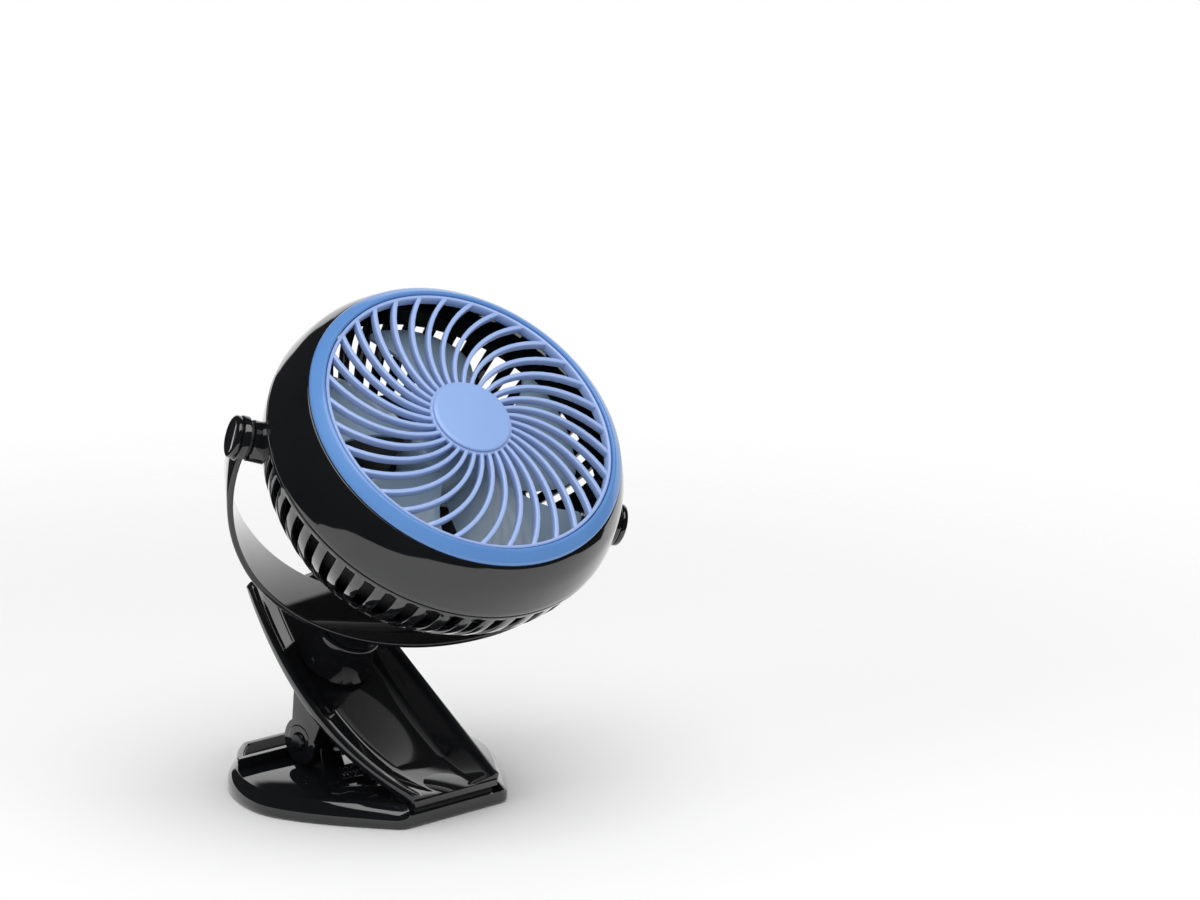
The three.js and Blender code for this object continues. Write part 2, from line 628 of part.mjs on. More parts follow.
function yokeBody() {
  const steps = 32;
  const rings = Array.from({ length: steps + 1 }, (_, i) => {
    const turn = Math.PI + Math.PI * i / steps;
    const half = STRAP_END_HALF
      + (STRAP_MIDDLE_HALF - STRAP_END_HALF) * Math.min(1, 1.35 * Math.abs(Math.sin(turn)));
    const edge = 0.7;
    const section = [
      [strapInner, -half + edge], [strapInner + edge, -half], [strapOuter - edge, -half],
      [strapOuter, -half + edge], [strapOuter, half - edge], [strapOuter - edge, half],
      [strapInner + edge, half], [strapInner, half - edge]];
    return section.map(([radius, y]) => new THREE.Vector3(
      radius * Math.cos(turn), y, pivotHeight + radius * Math.sin(turn)));
  });
  const strap = loft(rings);
  const boss = turned([
    [0, yokeBottom], [YOKE_BOSS_RADIUS - 0.8, yokeBottom], [YOKE_BOSS_RADIUS, yokeBottom + 0.8],
    [YOKE_BOSS_RADIUS, yokeBottom + YOKE_BOSS_HEIGHT + STRAP_WALL / 2],
    [0, yokeBottom + YOKE_BOSS_HEIGHT + STRAP_WALL / 2]], 24);
  const discs = [1, -1].map((side) => {
    const disc = turned([
      [0, strapInner], [PIVOT_DISC, strapInner], [PIVOT_DISC, discOuter - 0.6],
      [PIVOT_DISC - 0.6, discOuter], [0, discOuter]], 24);
    return disc.rotateY(side * Math.PI / 2).translate(0, 0, pivotHeight);
  });
  const headSeat = discOuter - PIVOT_HEAD_HEIGHT - 2 * GAP;
  const bores = [1, -1].flatMap((side) => [
    rod(PIVOT_SCREW + GAP, strapInner - 4, discOuter + 1), rod(PIVOT_HEAD + GAP, headSeat, discOuter + 1),
  ].map((bore) => bore.rotateY(side * Math.PI / 2).translate(0, 0, pivotHeight)));
  const screwBore = rod(SWIVEL_SCREW + GAP, -1, yokeBottom + YOKE_BOSS_HEIGHT + 0.8);
  return cut(join(strap, boss, ...discs), screwBore, ...bores);
}

function knobCap(side) {
  const bottom = discOuter + GAP;
  const top = bottom + CAP_HEIGHT;
  const cap = turned([
    [0, bottom], [CAP_RADIUS, bottom], [CAP_RADIUS, top - 0.7], [CAP_RADIUS - 0.6, top - 0.1],
    [CAP_RADIUS - 1.6, top], [CAP_RADIUS - 2.2, top - 0.3], [0, top - 0.3]], 24);
  return cap.rotateY(side * Math.PI / 2).translate(0, 0, pivotHeight);
}

function swivelScrew() {
  const length = TURRET_LENGTH + yokeBottom + YOKE_BOSS_HEIGHT + 2.4;
  return screw(SWIVEL_HEAD, 2, SWIVEL_SCREW, length)
    .rotateX(Math.PI).translate(0, 0, -TURRET_LENGTH - 4);
}

function swivelWasher() {
  return ringSolid(SWIVEL_SCREW + GAP, SWIVEL_HEAD + 1.6, -TURRET_LENGTH - 1.7, -TURRET_LENGTH - GAP, 24);
}

function ringSolid(inner, outer, bottom, top, sides = SMALL_SIDES) {
  return turned([[inner, bottom], [outer, bottom], [outer, top], [inner, top]], sides);
}

// ---------------------------------------------------------------- fan head
// Local frame: Z is the fan axis, X the tilt axis, the origin is where they cross.

const faceRadius = BELLY_RADIUS - FACE_STEP;
const bezelLip = faceRadius - BEZEL_WIDTH;
const grilleRim = FACE_HEIGHT + GRILLE_RISE;
const ribEnd = bezelLip - GAP - GRILLE_RING / 2;
const capRadius = HUB_RADIUS - HUB_CAP_MARGIN;
const bladeTip = bezelLip - BLADE_TIP_SETBACK;
const plateScrewRing = BAY_RADIUS - PLATE_SCREW_SETBACK;

const headOutside = [
  [faceRadius + 0.6, FACE_HEIGHT - 1.5], [faceRadius + 2.4, FACE_HEIGHT - 4],
  [faceRadius + 4.7, FACE_HEIGHT - 8.4], [BELLY_RADIUS - 1, FACE_HEIGHT - 14.2],
  [BELLY_RADIUS, SEAM_HEIGHT + 2], [BELLY_RADIUS - 0.1, SEAM_HEIGHT],
];

// The slots run from the second point of this profile to the one on the bend to the back.
const coverOutside = [
  [BELLY_RADIUS - 0.1, SEAM_HEIGHT - GAP], [BELLY_RADIUS - 0.5, SLOT_TOP],
  [BELLY_RADIUS - 3, SLOT_TOP - 11], [BELLY_RADIUS - 9.7, SLOT_BOTTOM + 12],
  [BAY_RADIUS + 5.1, SLOT_BOTTOM], [BAY_RADIUS - 4.5, BACK_HEIGHT + 3.4], [PANEL_RADIUS + 4, BACK_HEIGHT],
];
const SLOT_FIRST = 1;
const SLOT_LAST = 4;

const inwards = (profile, wall) => profile.map(([radius, height], i) => {
  const before = profile[Math.max(i - 1, 0)];
  const after = profile[Math.min(i + 1, profile.length - 1)];
  const along = new THREE.Vector2(after[0] - before[0], after[1] - before[1]).normalize();
  return [radius + along.y * wall, height - along.x * wall];
});

function frontShell() {
  const [top, , shoulder] = inwards(headOutside, HEAD_WALL);
  const rim = BELLY_RADIUS - HEAD_WALL;
  const inside = [[top[0], FACE_HEIGHT - 1.5], shoulder, [rim, SEAM_HEIGHT + 3], [rim, SEAM_HEIGHT]];
  return turned([...headOutside, ...inside.reverse()], HEAD_SIDES);
}

// Turns of the cover's facet edges: a slot and a bar alternate, the slots centred on the pitches.
function coverTurns() {
  const pitch = 2 * Math.PI / SLOT_COUNT;
  return Array.from({ length: SLOT_COUNT }, (_, step) => [
    (step - SLOT_SHARE / 2) * pitch, (step + SLOT_SHARE / 2) * pitch]).flat();
}

// A facet is open where a slot passes, which is everywhere but next to a pivot.
function isSlot(facet) {
  const half = SLOT_COUNT / 2;
  const step = (facet / 2) % half;
  return facet % 2 === 0 && step > SLOT_SKIP && step < half - SLOT_SKIP;
}

// Turns a closed profile with slots through it: the slots run along its points from `first` on
// for `length` steps and meet the points that lie as many steps from `last` backwards.
function slottedTurned(profile, first, last, length) {
  const turns = coverTurns();
  const places = turns.flatMap((turn) => profile.flatMap(([radius, height]) =>
    [radius * Math.cos(turn), radius * Math.sin(turn), height]));
  const at = (level, facet) =>
    (facet % turns.length) * profile.length + level % profile.length;
  const faces = [];
  const quad = (a, b, c, d) => faces.push(a, b, c, a, c, d);
  for (let facet = 0; facet < turns.length; facet += 1) {
    const next = facet + 1;
    for (let level = 0; level < profile.length; level += 1) {
      const inSlot = (level >= first && level < first + length)
        || (level < last && level >= last - length);
      if (isSlot(facet) && inSlot) continue;
      quad(at(level, facet), at(level + 1, facet), at(level + 1, next), at(level, next));
    }
    if (!isSlot(facet)) continue;
    for (let k = 0; k < length; k += 1) {
      quad(at(first + k, facet), at(first + k + 1, facet),
        at(last - k - 1, facet), at(last - k, facet));
      quad(at(first + k + 1, next), at(first + k, next),
        at(last - k, next), at(last - k - 1, next));
    }
    quad(at(first, next), at(first, facet), at(last, facet), at(last, next));
    quad(at(first + length, facet), at(first + length, next),
      at(last - length, next), at(last - length, facet));
  }
  const geometry = new THREE.BufferGeometry();
  geometry.setAttribute('position', new THREE.Float32BufferAttribute(places, 3));
  geometry.setIndex(faces);
  return closed(geometry);
}

const controlPlaces = { button: [0, CONTROL_Y], socket: [SOCKET_X, CONTROL_Y], led: [LED_X, CONTROL_Y] };
const plateScrewPlaces = [90, 210, 330].map((turn) => [
  plateScrewRing * Math.cos(turn * DEG), plateScrewRing * Math.sin(turn * DEG)]);
const panelBack = BACK_HEIGHT;
const panelFront = panelBack + PANEL_WALL;
const coverBackInside = BACK_HEIGHT + PANEL_SINK + HEAD_WALL;

function rearCover() {
  const inside = inwards(coverOutside, HEAD_WALL).slice(SLOT_FIRST, -1).reverse();
  const spigot = BELLY_RADIUS - HEAD_WALL - 2 * GAP;
  const spigotTop = SEAM_HEIGHT + 4;
  const spigotWall = 1.6;
  const slotSteps = SLOT_LAST - SLOT_FIRST;
  const profile = [
    ...coverOutside, [PANEL_RADIUS + GAP, BACK_HEIGHT], [PANEL_RADIUS + GAP, BACK_HEIGHT + PANEL_SINK],
    [0, BACK_HEIGHT + PANEL_SINK], [0, coverBackInside], [PANEL_RADIUS + 4, coverBackInside],
    ...inside, [spigot - spigotWall, spigotTop], [spigot, spigotTop], [spigot, SEAM_HEIGHT - GAP]];
  const innerFirst = coverOutside.length + 4 + inside.length;
  const shell = slottedTurned(profile, SLOT_FIRST, innerFirst, slotSteps);
  const posts = plateScrewPlaces.map(([x, y]) =>
    rod(3.2, BACK_HEIGHT + 4, BAY_TOP).translate(x, y, 0));
  const bosses = [1, -1].map((side) => rod(PIVOT_BOSS, bossInner, bossEnd, 28)
    .rotateY(side * Math.PI / 2));
  const standoffs = [1, -1].map((side) =>
    rod(1.8, coverBackInside - 0.5, boardBack - GAP, 12).translate(side * 13, CONTROL_Y - 5, 0));
  const postBores = plateScrewPlaces.map(([x, y]) => rod(1.3, -20, BAY_TOP + 1).translate(x, y, 0));
  const pivotBores = [1, -1].map((side) => rod(PIVOT_SCREW + GAP, bossInner - 1, bossEnd + 1)
    .rotateY(side * Math.PI / 2));
  return cut(join(shell, ...posts, ...bosses, ...standoffs), ...postBores, ...pivotBores,
    ...controlHoles(BACK_HEIGHT - 1, coverBackInside + 1));
}

const bossInner = BELLY_RADIUS - PIVOT_BOSS_DEPTH;
const bossEnd = strapInner - PIVOT_WASHER - 2 * GAP - 0.2;

function controlHoles(bottom, top) {
  const { button, socket, led } = controlPlaces;
  return [
    rod(BUTTON_RADIUS + GAP, bottom, top, 24).translate(...button, 0),
    rod(LED_RADIUS + GAP, bottom, top, 12).translate(...led, 0),
    block([SOCKET_SIZE[0] + 2 * GAP, SOCKET_SIZE[1] + 2 * GAP, top - bottom],
      [...socket, (bottom + top) / 2]),
  ];
}

function rearPanel() {
  const panel = turned([
    [0, panelBack], [PANEL_RADIUS - 0.5, panelBack], [PANEL_RADIUS, panelBack + 0.5],
    [PANEL_RADIUS, panelFront], [0, panelFront]], 36);
  return cut(panel, ...controlHoles(panelBack - 1, panelFront + 1));
}

// Centre line of a rib: it leaves the hub straight and turns back more and more.
function ribPoint(share) {
  const radius = RIB_START + (ribEnd - RIB_START) * share;
  const turn = -RIB_SWEEP * Math.pow(share, RIB_SWEEP_POWER) * DEG;
  return new THREE.Vector2(radius * Math.cos(turn), radius * Math.sin(turn));
}

const grilleTop = (radius) => grilleRim + GRILLE_CROWN * (1 - (radius / ribEnd) ** 2);

function grilleRib(turn) {
  const rings = Array.from({ length: RIB_STEPS + 1 }, (_, i) => {
    const share = i / RIB_STEPS;
    const centre = ribPoint(share);
    const along = ribPoint(share + 0.01).sub(ribPoint(share - 0.01 * Math.sign(share))).normalize();
    const side = new THREE.Vector2(-along.y, along.x);
    const top = grilleTop(centre.length());
    return [[-0.5, 0], [-0.4, -RIB_DEPTH], [0.4, -RIB_DEPTH], [0.5, 0]].map(([across, down]) =>
      new THREE.Vector3(centre.x + side.x * across * RIB_WIDTH, centre.y + side.y * across * RIB_WIDTH,
        top + down));
  });
  return loft(rings).rotateZ(turn);
}

function frontGrille() {
  const hubTop = grilleTop(HUB_RADIUS);
  const hub = turned([
    [0, hubTop - HUB_PLATE], [HUB_RADIUS - 0.6, hubTop - HUB_PLATE], [HUB_RADIUS, hubTop - HUB_PLATE + 0.6],
    [HUB_RADIUS, hubTop - 0.4], [HUB_RADIUS - 0.4, hubTop], [0, hubTop]], RIB_COUNT);
  const ring = ringSolid(ribEnd - GRILLE_RING / 2, ribEnd + GRILLE_RING / 2,
    grilleRim - RIB_DEPTH - 0.4, grilleRim + 0.2, RIB_COUNT * 2);
  // Facets stand square to the ribs' ends.
  hub.rotateZ(Math.PI / 2 + Math.PI / RIB_COUNT);
  ring.rotateZ(Math.PI / 2 + Math.PI / RIB_COUNT / 2 - RIB_SWEEP * DEG);
  const ribs = Array.from({ length: RIB_COUNT }, (_, i) => grilleRib(2 * Math.PI * i / RIB_COUNT));
  [ring, hub, ...ribs].forEach((part) => part.rotateZ(RIB_TURN * DEG));
  return join(ring, hub, ...ribs);
}

function hubCap() {
  const bottom = grilleTop(HUB_RADIUS) + GAP / 2;
  return turned([
    [0, bottom], [capRadius, bottom], [capRadius, bottom + 0.5],
    [capRadius - 0.6, bottom + 0.9], [capRadius * 0.6, bottom + HUB_CAP_HEIGHT - 0.15],
    [0, bottom + HUB_CAP_HEIGHT]], 44);
}

// Bezel: slopes up from its outer edge to a rounded lip and plugs into the front shell.
function frontBezel() {
  const plug = faceRadius - 1.9;
  const plugWall = 1.5;
  const lipTop = FACE_HEIGHT + BEZEL_RISE;
  const bottom = FACE_HEIGHT - 1.2;
  return turned([
    [faceRadius - 0.3, bottom], [faceRadius, bottom + 0.4], [faceRadius, FACE_HEIGHT],
    [faceRadius - 0.6, FACE_HEIGHT + 0.9], [bezelLip + 1.2, lipTop - 0.15], [bezelLip + 0.5, lipTop],
    [bezelLip, lipTop - 0.4], [bezelLip, bottom - 0.5],
    [plug - plugWall, bottom - 0.5], [plug - plugWall, FACE_HEIGHT - 4.2], [plug, FACE_HEIGHT - 4.2],
    [plug, bottom]], 48);
}

function motorCan() {
  const back = BAY_TOP + PLATE_WALL + 2 * GAP;
  const front = back + MOTOR_LENGTH;
  return turned([
    [SHAFT_RADIUS + GAP, back + MOTOR_CAP], [MOTOR_RADIUS - 0.5, back + MOTOR_CAP],
    [MOTOR_RADIUS, back + MOTOR_CAP + 0.5], [MOTOR_RADIUS, front - 1], [MOTOR_RADIUS - 1, front],
    [3.2, front], [3.2, front + 1.2], [SHAFT_RADIUS + GAP, front + 1.2]], 24);
}

function motorEndCap() {
  const back = BAY_TOP + PLATE_WALL + 2 * GAP;
  const cap = ringSolid(SHAFT_RADIUS + GAP, MOTOR_RADIUS - 0.3, back, back + MOTOR_CAP - GAP, 24);
  const tabs = [1, -1].map((side) => block([2.4, 0.8, 2], [side * 7, -7, back - 0.6]));
  return join(cap, ...tabs);
}

function motorPlate() {
  const bottom = BAY_TOP + GAP;
  const top = bottom + PLATE_WALL;
  const disc = rod(BAY_RADIUS, bottom, top - GAP, 40);
  const skirt = turned([
    [BAY_RADIUS, BAY_BOTTOM], [BAY_RADIUS, top - GAP - 0.5],
    [BAY_RADIUS - BAY_WALL, top - GAP - 0.5], [BAY_RADIUS - BAY_WALL, BAY_BOTTOM - 1.2]], 40);
  const cup = ringSolid(MOTOR_RADIUS + GAP, MOTOR_RADIUS + 2, bottom, bottom + CUP_HEIGHT, 24);
  const holes = plateScrewPlaces.map(([x, y]) => rod(1.6, bottom - 1, top + 1).translate(x, y, 0));
  const wireHoles = [1, -1].map((side) => rod(2.2, bottom - 1, top + 1, 12).translate(side * 7, -7, 0));
  const cradles = [1, -1].map((side) => block([3, 14, 8], [side * 22, CELL_Y, bottom - 3.5]));
  const cell = alongX(rod(CELL_RADIUS + GAP, -CELL_LENGTH, CELL_LENGTH, 28))
    .translate(0, CELL_Y, CELL_HEIGHT);
  return cut(join(cut(join(disc, ...cradles), cell), skirt, cup), ...holes, ...wireHoles);
}

function plateScrew(x, y) {
  const top = BAY_TOP + PLATE_WALL + 1.4 + GAP;
  return screw(2.6, 1.3, 1, 9).translate(x, y, top);
}

function batteryCell() {
  const half = CELL_LENGTH / 2;
  const cell = turned([
    [0, -half], [CELL_RADIUS - 0.6, -half], [CELL_RADIUS, -half + 0.6], [CELL_RADIUS, half - 1.4],
    [CELL_RADIUS - 1, half - 0.8], [3, half - 0.8], [3, half], [0, half]], 28);
  return alongX(cell).translate(0, CELL_Y, CELL_HEIGHT);
}

function circuitBoard() {
  const board = block([...BOARD_SIZE, BOARD_WALL], [0, CONTROL_Y - 1, BOARD_HEIGHT]);
  const chip = block([5, 4, 1.4], [7, CONTROL_Y - 1, BOARD_HEIGHT + BOARD_WALL / 2 + 0.6]);
  const coil = block([4, 4, 2.4], [-8, CONTROL_Y - 1, BOARD_HEIGHT + BOARD_WALL / 2 + 1]);
  return join(board, chip, coil);
}

const boardBack = BOARD_HEIGHT - BOARD_WALL / 2;

function touchSwitch() {
  const body = block([6, 6, 3], [...controlPlaces.button, boardBack - GAP - 1.5]);
  const plunger = rod(1.7, boardBack - GAP - 3.8, boardBack - GAP - 2.5, 12)
    .translate(...controlPlaces.button, 0);
  return join(body, plunger);
}

function usbSocket() {
  const [width, height] = SOCKET_SIZE;
  const back = panelBack + 0.2;
  const length = boardBack - GAP - back;
  const wall = 0.5;
  const shell = block([width, height, length], [...controlPlaces.socket, back + length / 2]);
  const mouth = block([width - 2 * wall, height - 2 * wall, length - 1],
    [...controlPlaces.socket, back + (length - 1) / 2 - 0.2]);
  const tongue = block([width * 0.55, 0.8, length - 2], [...controlPlaces.socket, back + length / 2]);
  return join(cut(shell, mouth), tongue);
}

function ledLens() {
  const lens = turned([
    [0, panelBack - 0.1], [LED_RADIUS * 0.6, panelBack], [LED_RADIUS, panelBack + 0.5],
    [LED_RADIUS, boardBack - GAP], [0, boardBack - GAP]], 12);
  return lens.translate(...controlPlaces.led, 0);
}

function powerButton() {
  const back = panelBack - BUTTON_TRAVEL - 0.8;
  const front = boardBack - GAP - 3.8 - BUTTON_TRAVEL - GAP;
  const button = turned([
    [0, back + 0.3], [BUTTON_RADIUS - 1.4, back + 0.2], [BUTTON_RADIUS - 0.9, back],
    [BUTTON_RADIUS - 0.3, back + 0.2], [BUTTON_RADIUS, back + 0.7], [BUTTON_RADIUS, coverBackInside + 0.6],
    [BUTTON_RADIUS - 1.2, coverBackInside + 0.6], [1.4, front], [0, front]], 24);
  return button.translate(...controlPlaces.button, 0);
}

function pivotScrew(side) {
  const top = discOuter - GAP;
  return screw(PIVOT_HEAD, PIVOT_HEAD_HEIGHT, PIVOT_SCREW, top - bossInner)
    .translate(0, 0, top).rotateY(side * Math.PI / 2);
}

function pivotWasher(side) {
  const bottom = bossEnd + GAP;
  return ringSolid(PIVOT_SCREW + GAP, PIVOT_BOSS - 0.8, bottom, bottom + PIVOT_WASHER, 24)
    .rotateY(side * Math.PI / 2);
}

// ---------------------------------------------------------------- fan

function fanBlade(turn) {
  const radialSteps = 4;
  const chordSteps = 5;
  const middle = (FAN_HUB_BACK + FAN_HUB_FRONT) / 2 + 1;
  const rings = Array.from({ length: radialSteps + 1 }, (_, i) => {
    const share = i / radialSteps;
    const radius = FAN_HUB_RADIUS - 0.8 + (bladeTip - FAN_HUB_RADIUS + 0.8) * share;
    const rise = BLADE_HUB_HEIGHT + (BLADE_TIP_HEIGHT - BLADE_HUB_HEIGHT) * share;
    const span = BLADE_SPAN * (1 - 0.35 * Math.max(0, share - 0.6)) * DEG;
    const lead = turn + BLADE_SWEEP * share * share * DEG;
    const skin = (side) => Array.from({ length: chordSteps + 1 }, (_, k) => {
      const across = k / chordSteps - 0.5;
      const camber = 2.4 * (0.25 - across * across) * 4;
      const thick = side * BLADE_WALL / 2 * (1 - 1.4 * Math.abs(across) ** 2);
      const angle = lead + across * span;
      return new THREE.Vector3(radius * Math.cos(angle), radius * Math.sin(angle),
        middle + across * rise + camber + thick);
    });
    return [...skin(-1), ...skin(1).reverse()];
  });
  return loft(rings, (point) => {
    const angle = Math.atan2(point.y, point.x);
    const offset = Math.atan2(Math.sin(angle - turn), Math.cos(angle - turn));
    return new THREE.Vector2(offset * FAN_HUB_RADIUS, point.z);
  });
}

function impeller() {
  const inner = FAN_HUB_RADIUS - FAN_HUB_WALL;
  const crown = FAN_HUB_FRONT - 3;
  const cup = turned([
    [SHAFT_RADIUS + GAP, crown - 10], [3.4, crown - 10], [3.4, crown - 2], [inner, crown - 2],
    [inner, FAN_HUB_BACK], [FAN_HUB_RADIUS, FAN_HUB_BACK], [FAN_HUB_RADIUS, crown],
    [FAN_HUB_RADIUS - 2, FAN_HUB_FRONT - 0.6], [FAN_HUB_RADIUS - 5, FAN_HUB_FRONT],
    [SHAFT_RADIUS + GAP, FAN_HUB_FRONT]], 28);
  const blades = Array.from({ length: BLADE_COUNT }, (_, i) => fanBlade(2 * Math.PI * i / BLADE_COUNT));
  return join(cup, ...blades);
}

function motorShaft() {
  const back = BAY_TOP + PLATE_WALL + 2 * GAP + 0.4;
  return turned([
    [0, back], [SHAFT_RADIUS, back], [SHAFT_RADIUS, FAN_HUB_FRONT - 0.6],
    [SHAFT_RADIUS - 0.4, FAN_HUB_FRONT - 0.2], [0, FAN_HUB_FRONT - 0.2]], 16);
}

// ---------------------------------------------------------------- assembly

const clipFan = new THREE.Group();

const pinEnd = earOuter + GAP;
const pin = turned([
  [0, -pinEnd - PIN_HEAD_HEIGHT], [PIN_HEAD - 0.6, -pinEnd - PIN_HEAD_HEIGHT], [PIN_HEAD, -pinEnd - 0.3],
  [PIN_HEAD, -pinEnd], [PIN_RADIUS, -pinEnd], [PIN_RADIUS, pinEnd + 1.6], [0, pinEnd + 1.6]]);
const pinClip = ringSolid(PIN_RADIUS + GAP, PIN_HEAD, pinEnd, pinEnd + 1);
const lowerPadY = -FOOT_CHORD + MOUTH_LENGTH / 2 + 0.4;
const padWidth = 2 * ARM_END_HALF - 4;
const padLength = MOUTH_LENGTH - 2;
const fingerPad = restBlock(REST_INSET + GAP, FOOT_HEIGHT + REST_STEP - 0.9 + GAP / 2,
  FOOT_HEIGHT + REST_STEP + 0.3);

clipFan.add(
  piece('foot_shell', blackGloss, footShell()),
  piece('foot_plate', blackMatt, footPlate()),
  piece('foot_pad', rubber, footPad()),
  piece('lower_jaw_pad', rubber, ribbedPad(padWidth, padLength, 0, lowerPadY, mouthFloor + GAP / 2)),
  piece('finger_pad', rubber, fingerPad),
  piece('hinge_pin', steel, alongX(pin).translate(0, HINGE_Y, HINGE_Z)),
  piece('pin_clip', steel, alongX(pinClip).translate(0, HINGE_Y, HINGE_Z)),
  piece('clip_spring', steel, clipSpring()),
);
footScrews().forEach((geometry, i) => clipFan.add(piece(`foot_screw_${i + 1}`, steel, geometry)));

// The arm turns about the hinge pin, so its group stands on the pin's axis.
const arm = new THREE.Group();
arm.position.set(0, HINGE_Y, HINGE_Z);
const onHinge = (geometry) => geometry.translate(0, -HINGE_Y, -HINGE_Z);
const upperPad = ribbedPad(padWidth, padLength, 0, 0, 0).rotateX(Math.PI)
  .translate(0, lowerPadY, ARM_FRONT_Z - TOE_HEIGHT - GAP / 2);
arm.add(
  piece('arm_shell', blackGloss, onHinge(armShell())),
  piece('upper_jaw_pad', rubber, onHinge(upperPad)),
);
clipFan.add(arm);

const yoke = new THREE.Group();
yoke.position.set(0, turretTop.y - HINGE_Y, turretTop.z - HINGE_Z);
yoke.rotation.set(SWIVEL_LEAN * DEG, 0, SWIVEL_REST * DEG);
yoke.add(
  piece('yoke_strap', blackGloss, yokeBody()),
  piece('swivel_screw', steel, swivelScrew()),
  piece('swivel_washer', nylon, swivelWasher()),
  piece('knob_cap_right', blackGloss, knobCap(1)),
  piece('knob_cap_left', blackGloss, knobCap(-1)),
);
arm.add(yoke);

const head = new THREE.Group();
head.position.set(0, 0, pivotHeight);
head.rotation.set(HEAD_LEAN * DEG, 0, 0);
head.add(
  piece('front_shell', blackGloss, frontShell()),
  piece('rear_cover', blackGloss, rearCover()),
  piece('front_bezel', bezelBlue, frontBezel()),
  piece('front_grille', grilleBlue, frontGrille()),
  piece('hub_cap', capBlue, hubCap()),
  piece('motor_plate', blackMatt, motorPlate()),
  piece('motor_can', steel, motorCan()),
  piece('motor_end_cap', nylon, motorEndCap()),
  piece('battery_cell', cellWrap, batteryCell()),
  piece('circuit_board', boardGreen, circuitBoard()),
  piece('touch_switch', blackMatt, touchSwitch()),
  piece('usb_socket', steel, usbSocket()),
  piece('led_lens', ledClear, ledLens()),
  piece('rear_panel', blackMatt, rearPanel()),
  piece('pivot_screw_right', steel, pivotScrew(1)),
  piece('pivot_screw_left', steel, pivotScrew(-1)),
  piece('pivot_washer_right', nylon, pivotWasher(1)),
  piece('pivot_washer_left', nylon, pivotWasher(-1)),
  piece('power_button', blackMatt, powerButton()),
);
plateScrewPlaces.forEach(([x, y], i) => head.add(piece(`plate_screw_${i + 1}`, steel, plateScrew(x, y))));
yoke.add(head);

const fan = new THREE.Group();
fan.rotation.z = FAN_REST_TURN * DEG;
fan.add(piece('impeller', bladeWhite, impeller()), piece('motor_shaft', steel, motorShaft()));
head.add(fan);

export default clipFan;
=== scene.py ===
"""Looks of the clip-on desk fan: gloss black mouldings, a blue bezel and grille, cloudy blades."""
import math

import bmesh
import bpy
from mathutils import Matrix, Vector


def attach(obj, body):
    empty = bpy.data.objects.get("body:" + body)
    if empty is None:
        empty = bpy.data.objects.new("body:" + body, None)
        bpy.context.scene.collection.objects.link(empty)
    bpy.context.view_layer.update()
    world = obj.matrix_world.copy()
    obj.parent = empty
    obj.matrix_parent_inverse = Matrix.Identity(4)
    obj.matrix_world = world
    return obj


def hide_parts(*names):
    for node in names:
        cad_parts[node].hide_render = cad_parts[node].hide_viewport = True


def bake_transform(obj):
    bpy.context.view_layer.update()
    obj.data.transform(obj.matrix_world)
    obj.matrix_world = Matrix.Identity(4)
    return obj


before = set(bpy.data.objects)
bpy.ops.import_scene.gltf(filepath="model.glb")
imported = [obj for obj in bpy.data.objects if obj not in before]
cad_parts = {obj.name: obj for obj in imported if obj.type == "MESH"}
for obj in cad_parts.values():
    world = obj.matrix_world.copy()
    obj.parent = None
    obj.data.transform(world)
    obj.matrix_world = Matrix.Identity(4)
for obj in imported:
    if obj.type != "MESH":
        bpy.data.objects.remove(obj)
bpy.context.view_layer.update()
MM = 0.001
POINT = 0.01  # a radius that stands for a point on the axis

# ---------------------------------------------------------------- camera

AIM = Vector((0, 0, 0.090))
AZIMUTH, ELEVATION = math.radians(-40.6), math.radians(15)
DISTANCE = 1.5
LENS, SHIFT = 126.7, (0.190, 0.078)
backwards = Vector((math.sin(AZIMUTH) * math.cos(ELEVATION),
                    -math.cos(AZIMUTH) * math.cos(ELEVATION), math.sin(ELEVATION)))
camera = bpy.data.objects.new("camera", bpy.data.cameras.new("camera"))
bpy.context.scene.collection.objects.link(camera)
camera.location = AIM + backwards * DISTANCE
camera.rotation_euler = backwards.to_track_quat("Z", "Y").to_euler()
camera.data.lens = LENS
camera.data.sensor_width = 36
camera.data.shift_x, camera.data.shift_y = SHIFT
camera.data.clip_start = 0.01
bpy.context.scene.camera = camera

# ---------------------------------------------------------------- places

# lengths in millimetres, angles in degrees, as in the solids
PIVOT_HEIGHT = 75.6
TURRET_LEAN, YOKE_TURN, HEAD_TILT = 34.2, -30, 10
HINGE_Y, HINGE_Z = 14, 17.7
turn = lambda degrees, axis: Matrix.Rotation(math.radians(degrees), 4, axis)
lift = lambda x, y, z: Matrix.Translation(Vector((x, y, z)) * MM)
SWIVEL = lift(0, 12.313, 56.062) @ turn(TURRET_LEAN, "X")
YOKE = SWIVEL @ turn(YOKE_TURN, "Z")
HEAD = YOKE @ lift(0, 0, PIVOT_HEIGHT) @ turn(HEAD_TILT, "X")


# ---------------------------------------------------------------- modelling by hand

def start(name, make, **settings):
    """Deselects all, adds a primitive under this name and opens it for editing."""
    bpy.ops.object.select_all(action="DESELECT")
    make(**settings)
    piece = bpy.context.object
    piece.name = piece.data.name = name
    bpy.ops.object.mode_set(mode="EDIT")
    return piece


def done(piece, place=Matrix.Identity(4)):
    """Leaves edit mode, cleans the mesh and puts its place into it."""
    if bpy.context.mode != "OBJECT":
        bpy.ops.mesh.select_all(action="SELECT")
        bpy.ops.mesh.remove_doubles(threshold=1e-6)
        bpy.ops.mesh.normals_make_consistent(inside=False)
        bpy.ops.object.mode_set(mode="OBJECT")
    only(piece)
    bpy.ops.object.transform_apply(location=True, rotation=True, scale=True)
    piece.data.transform(place)
    return piece


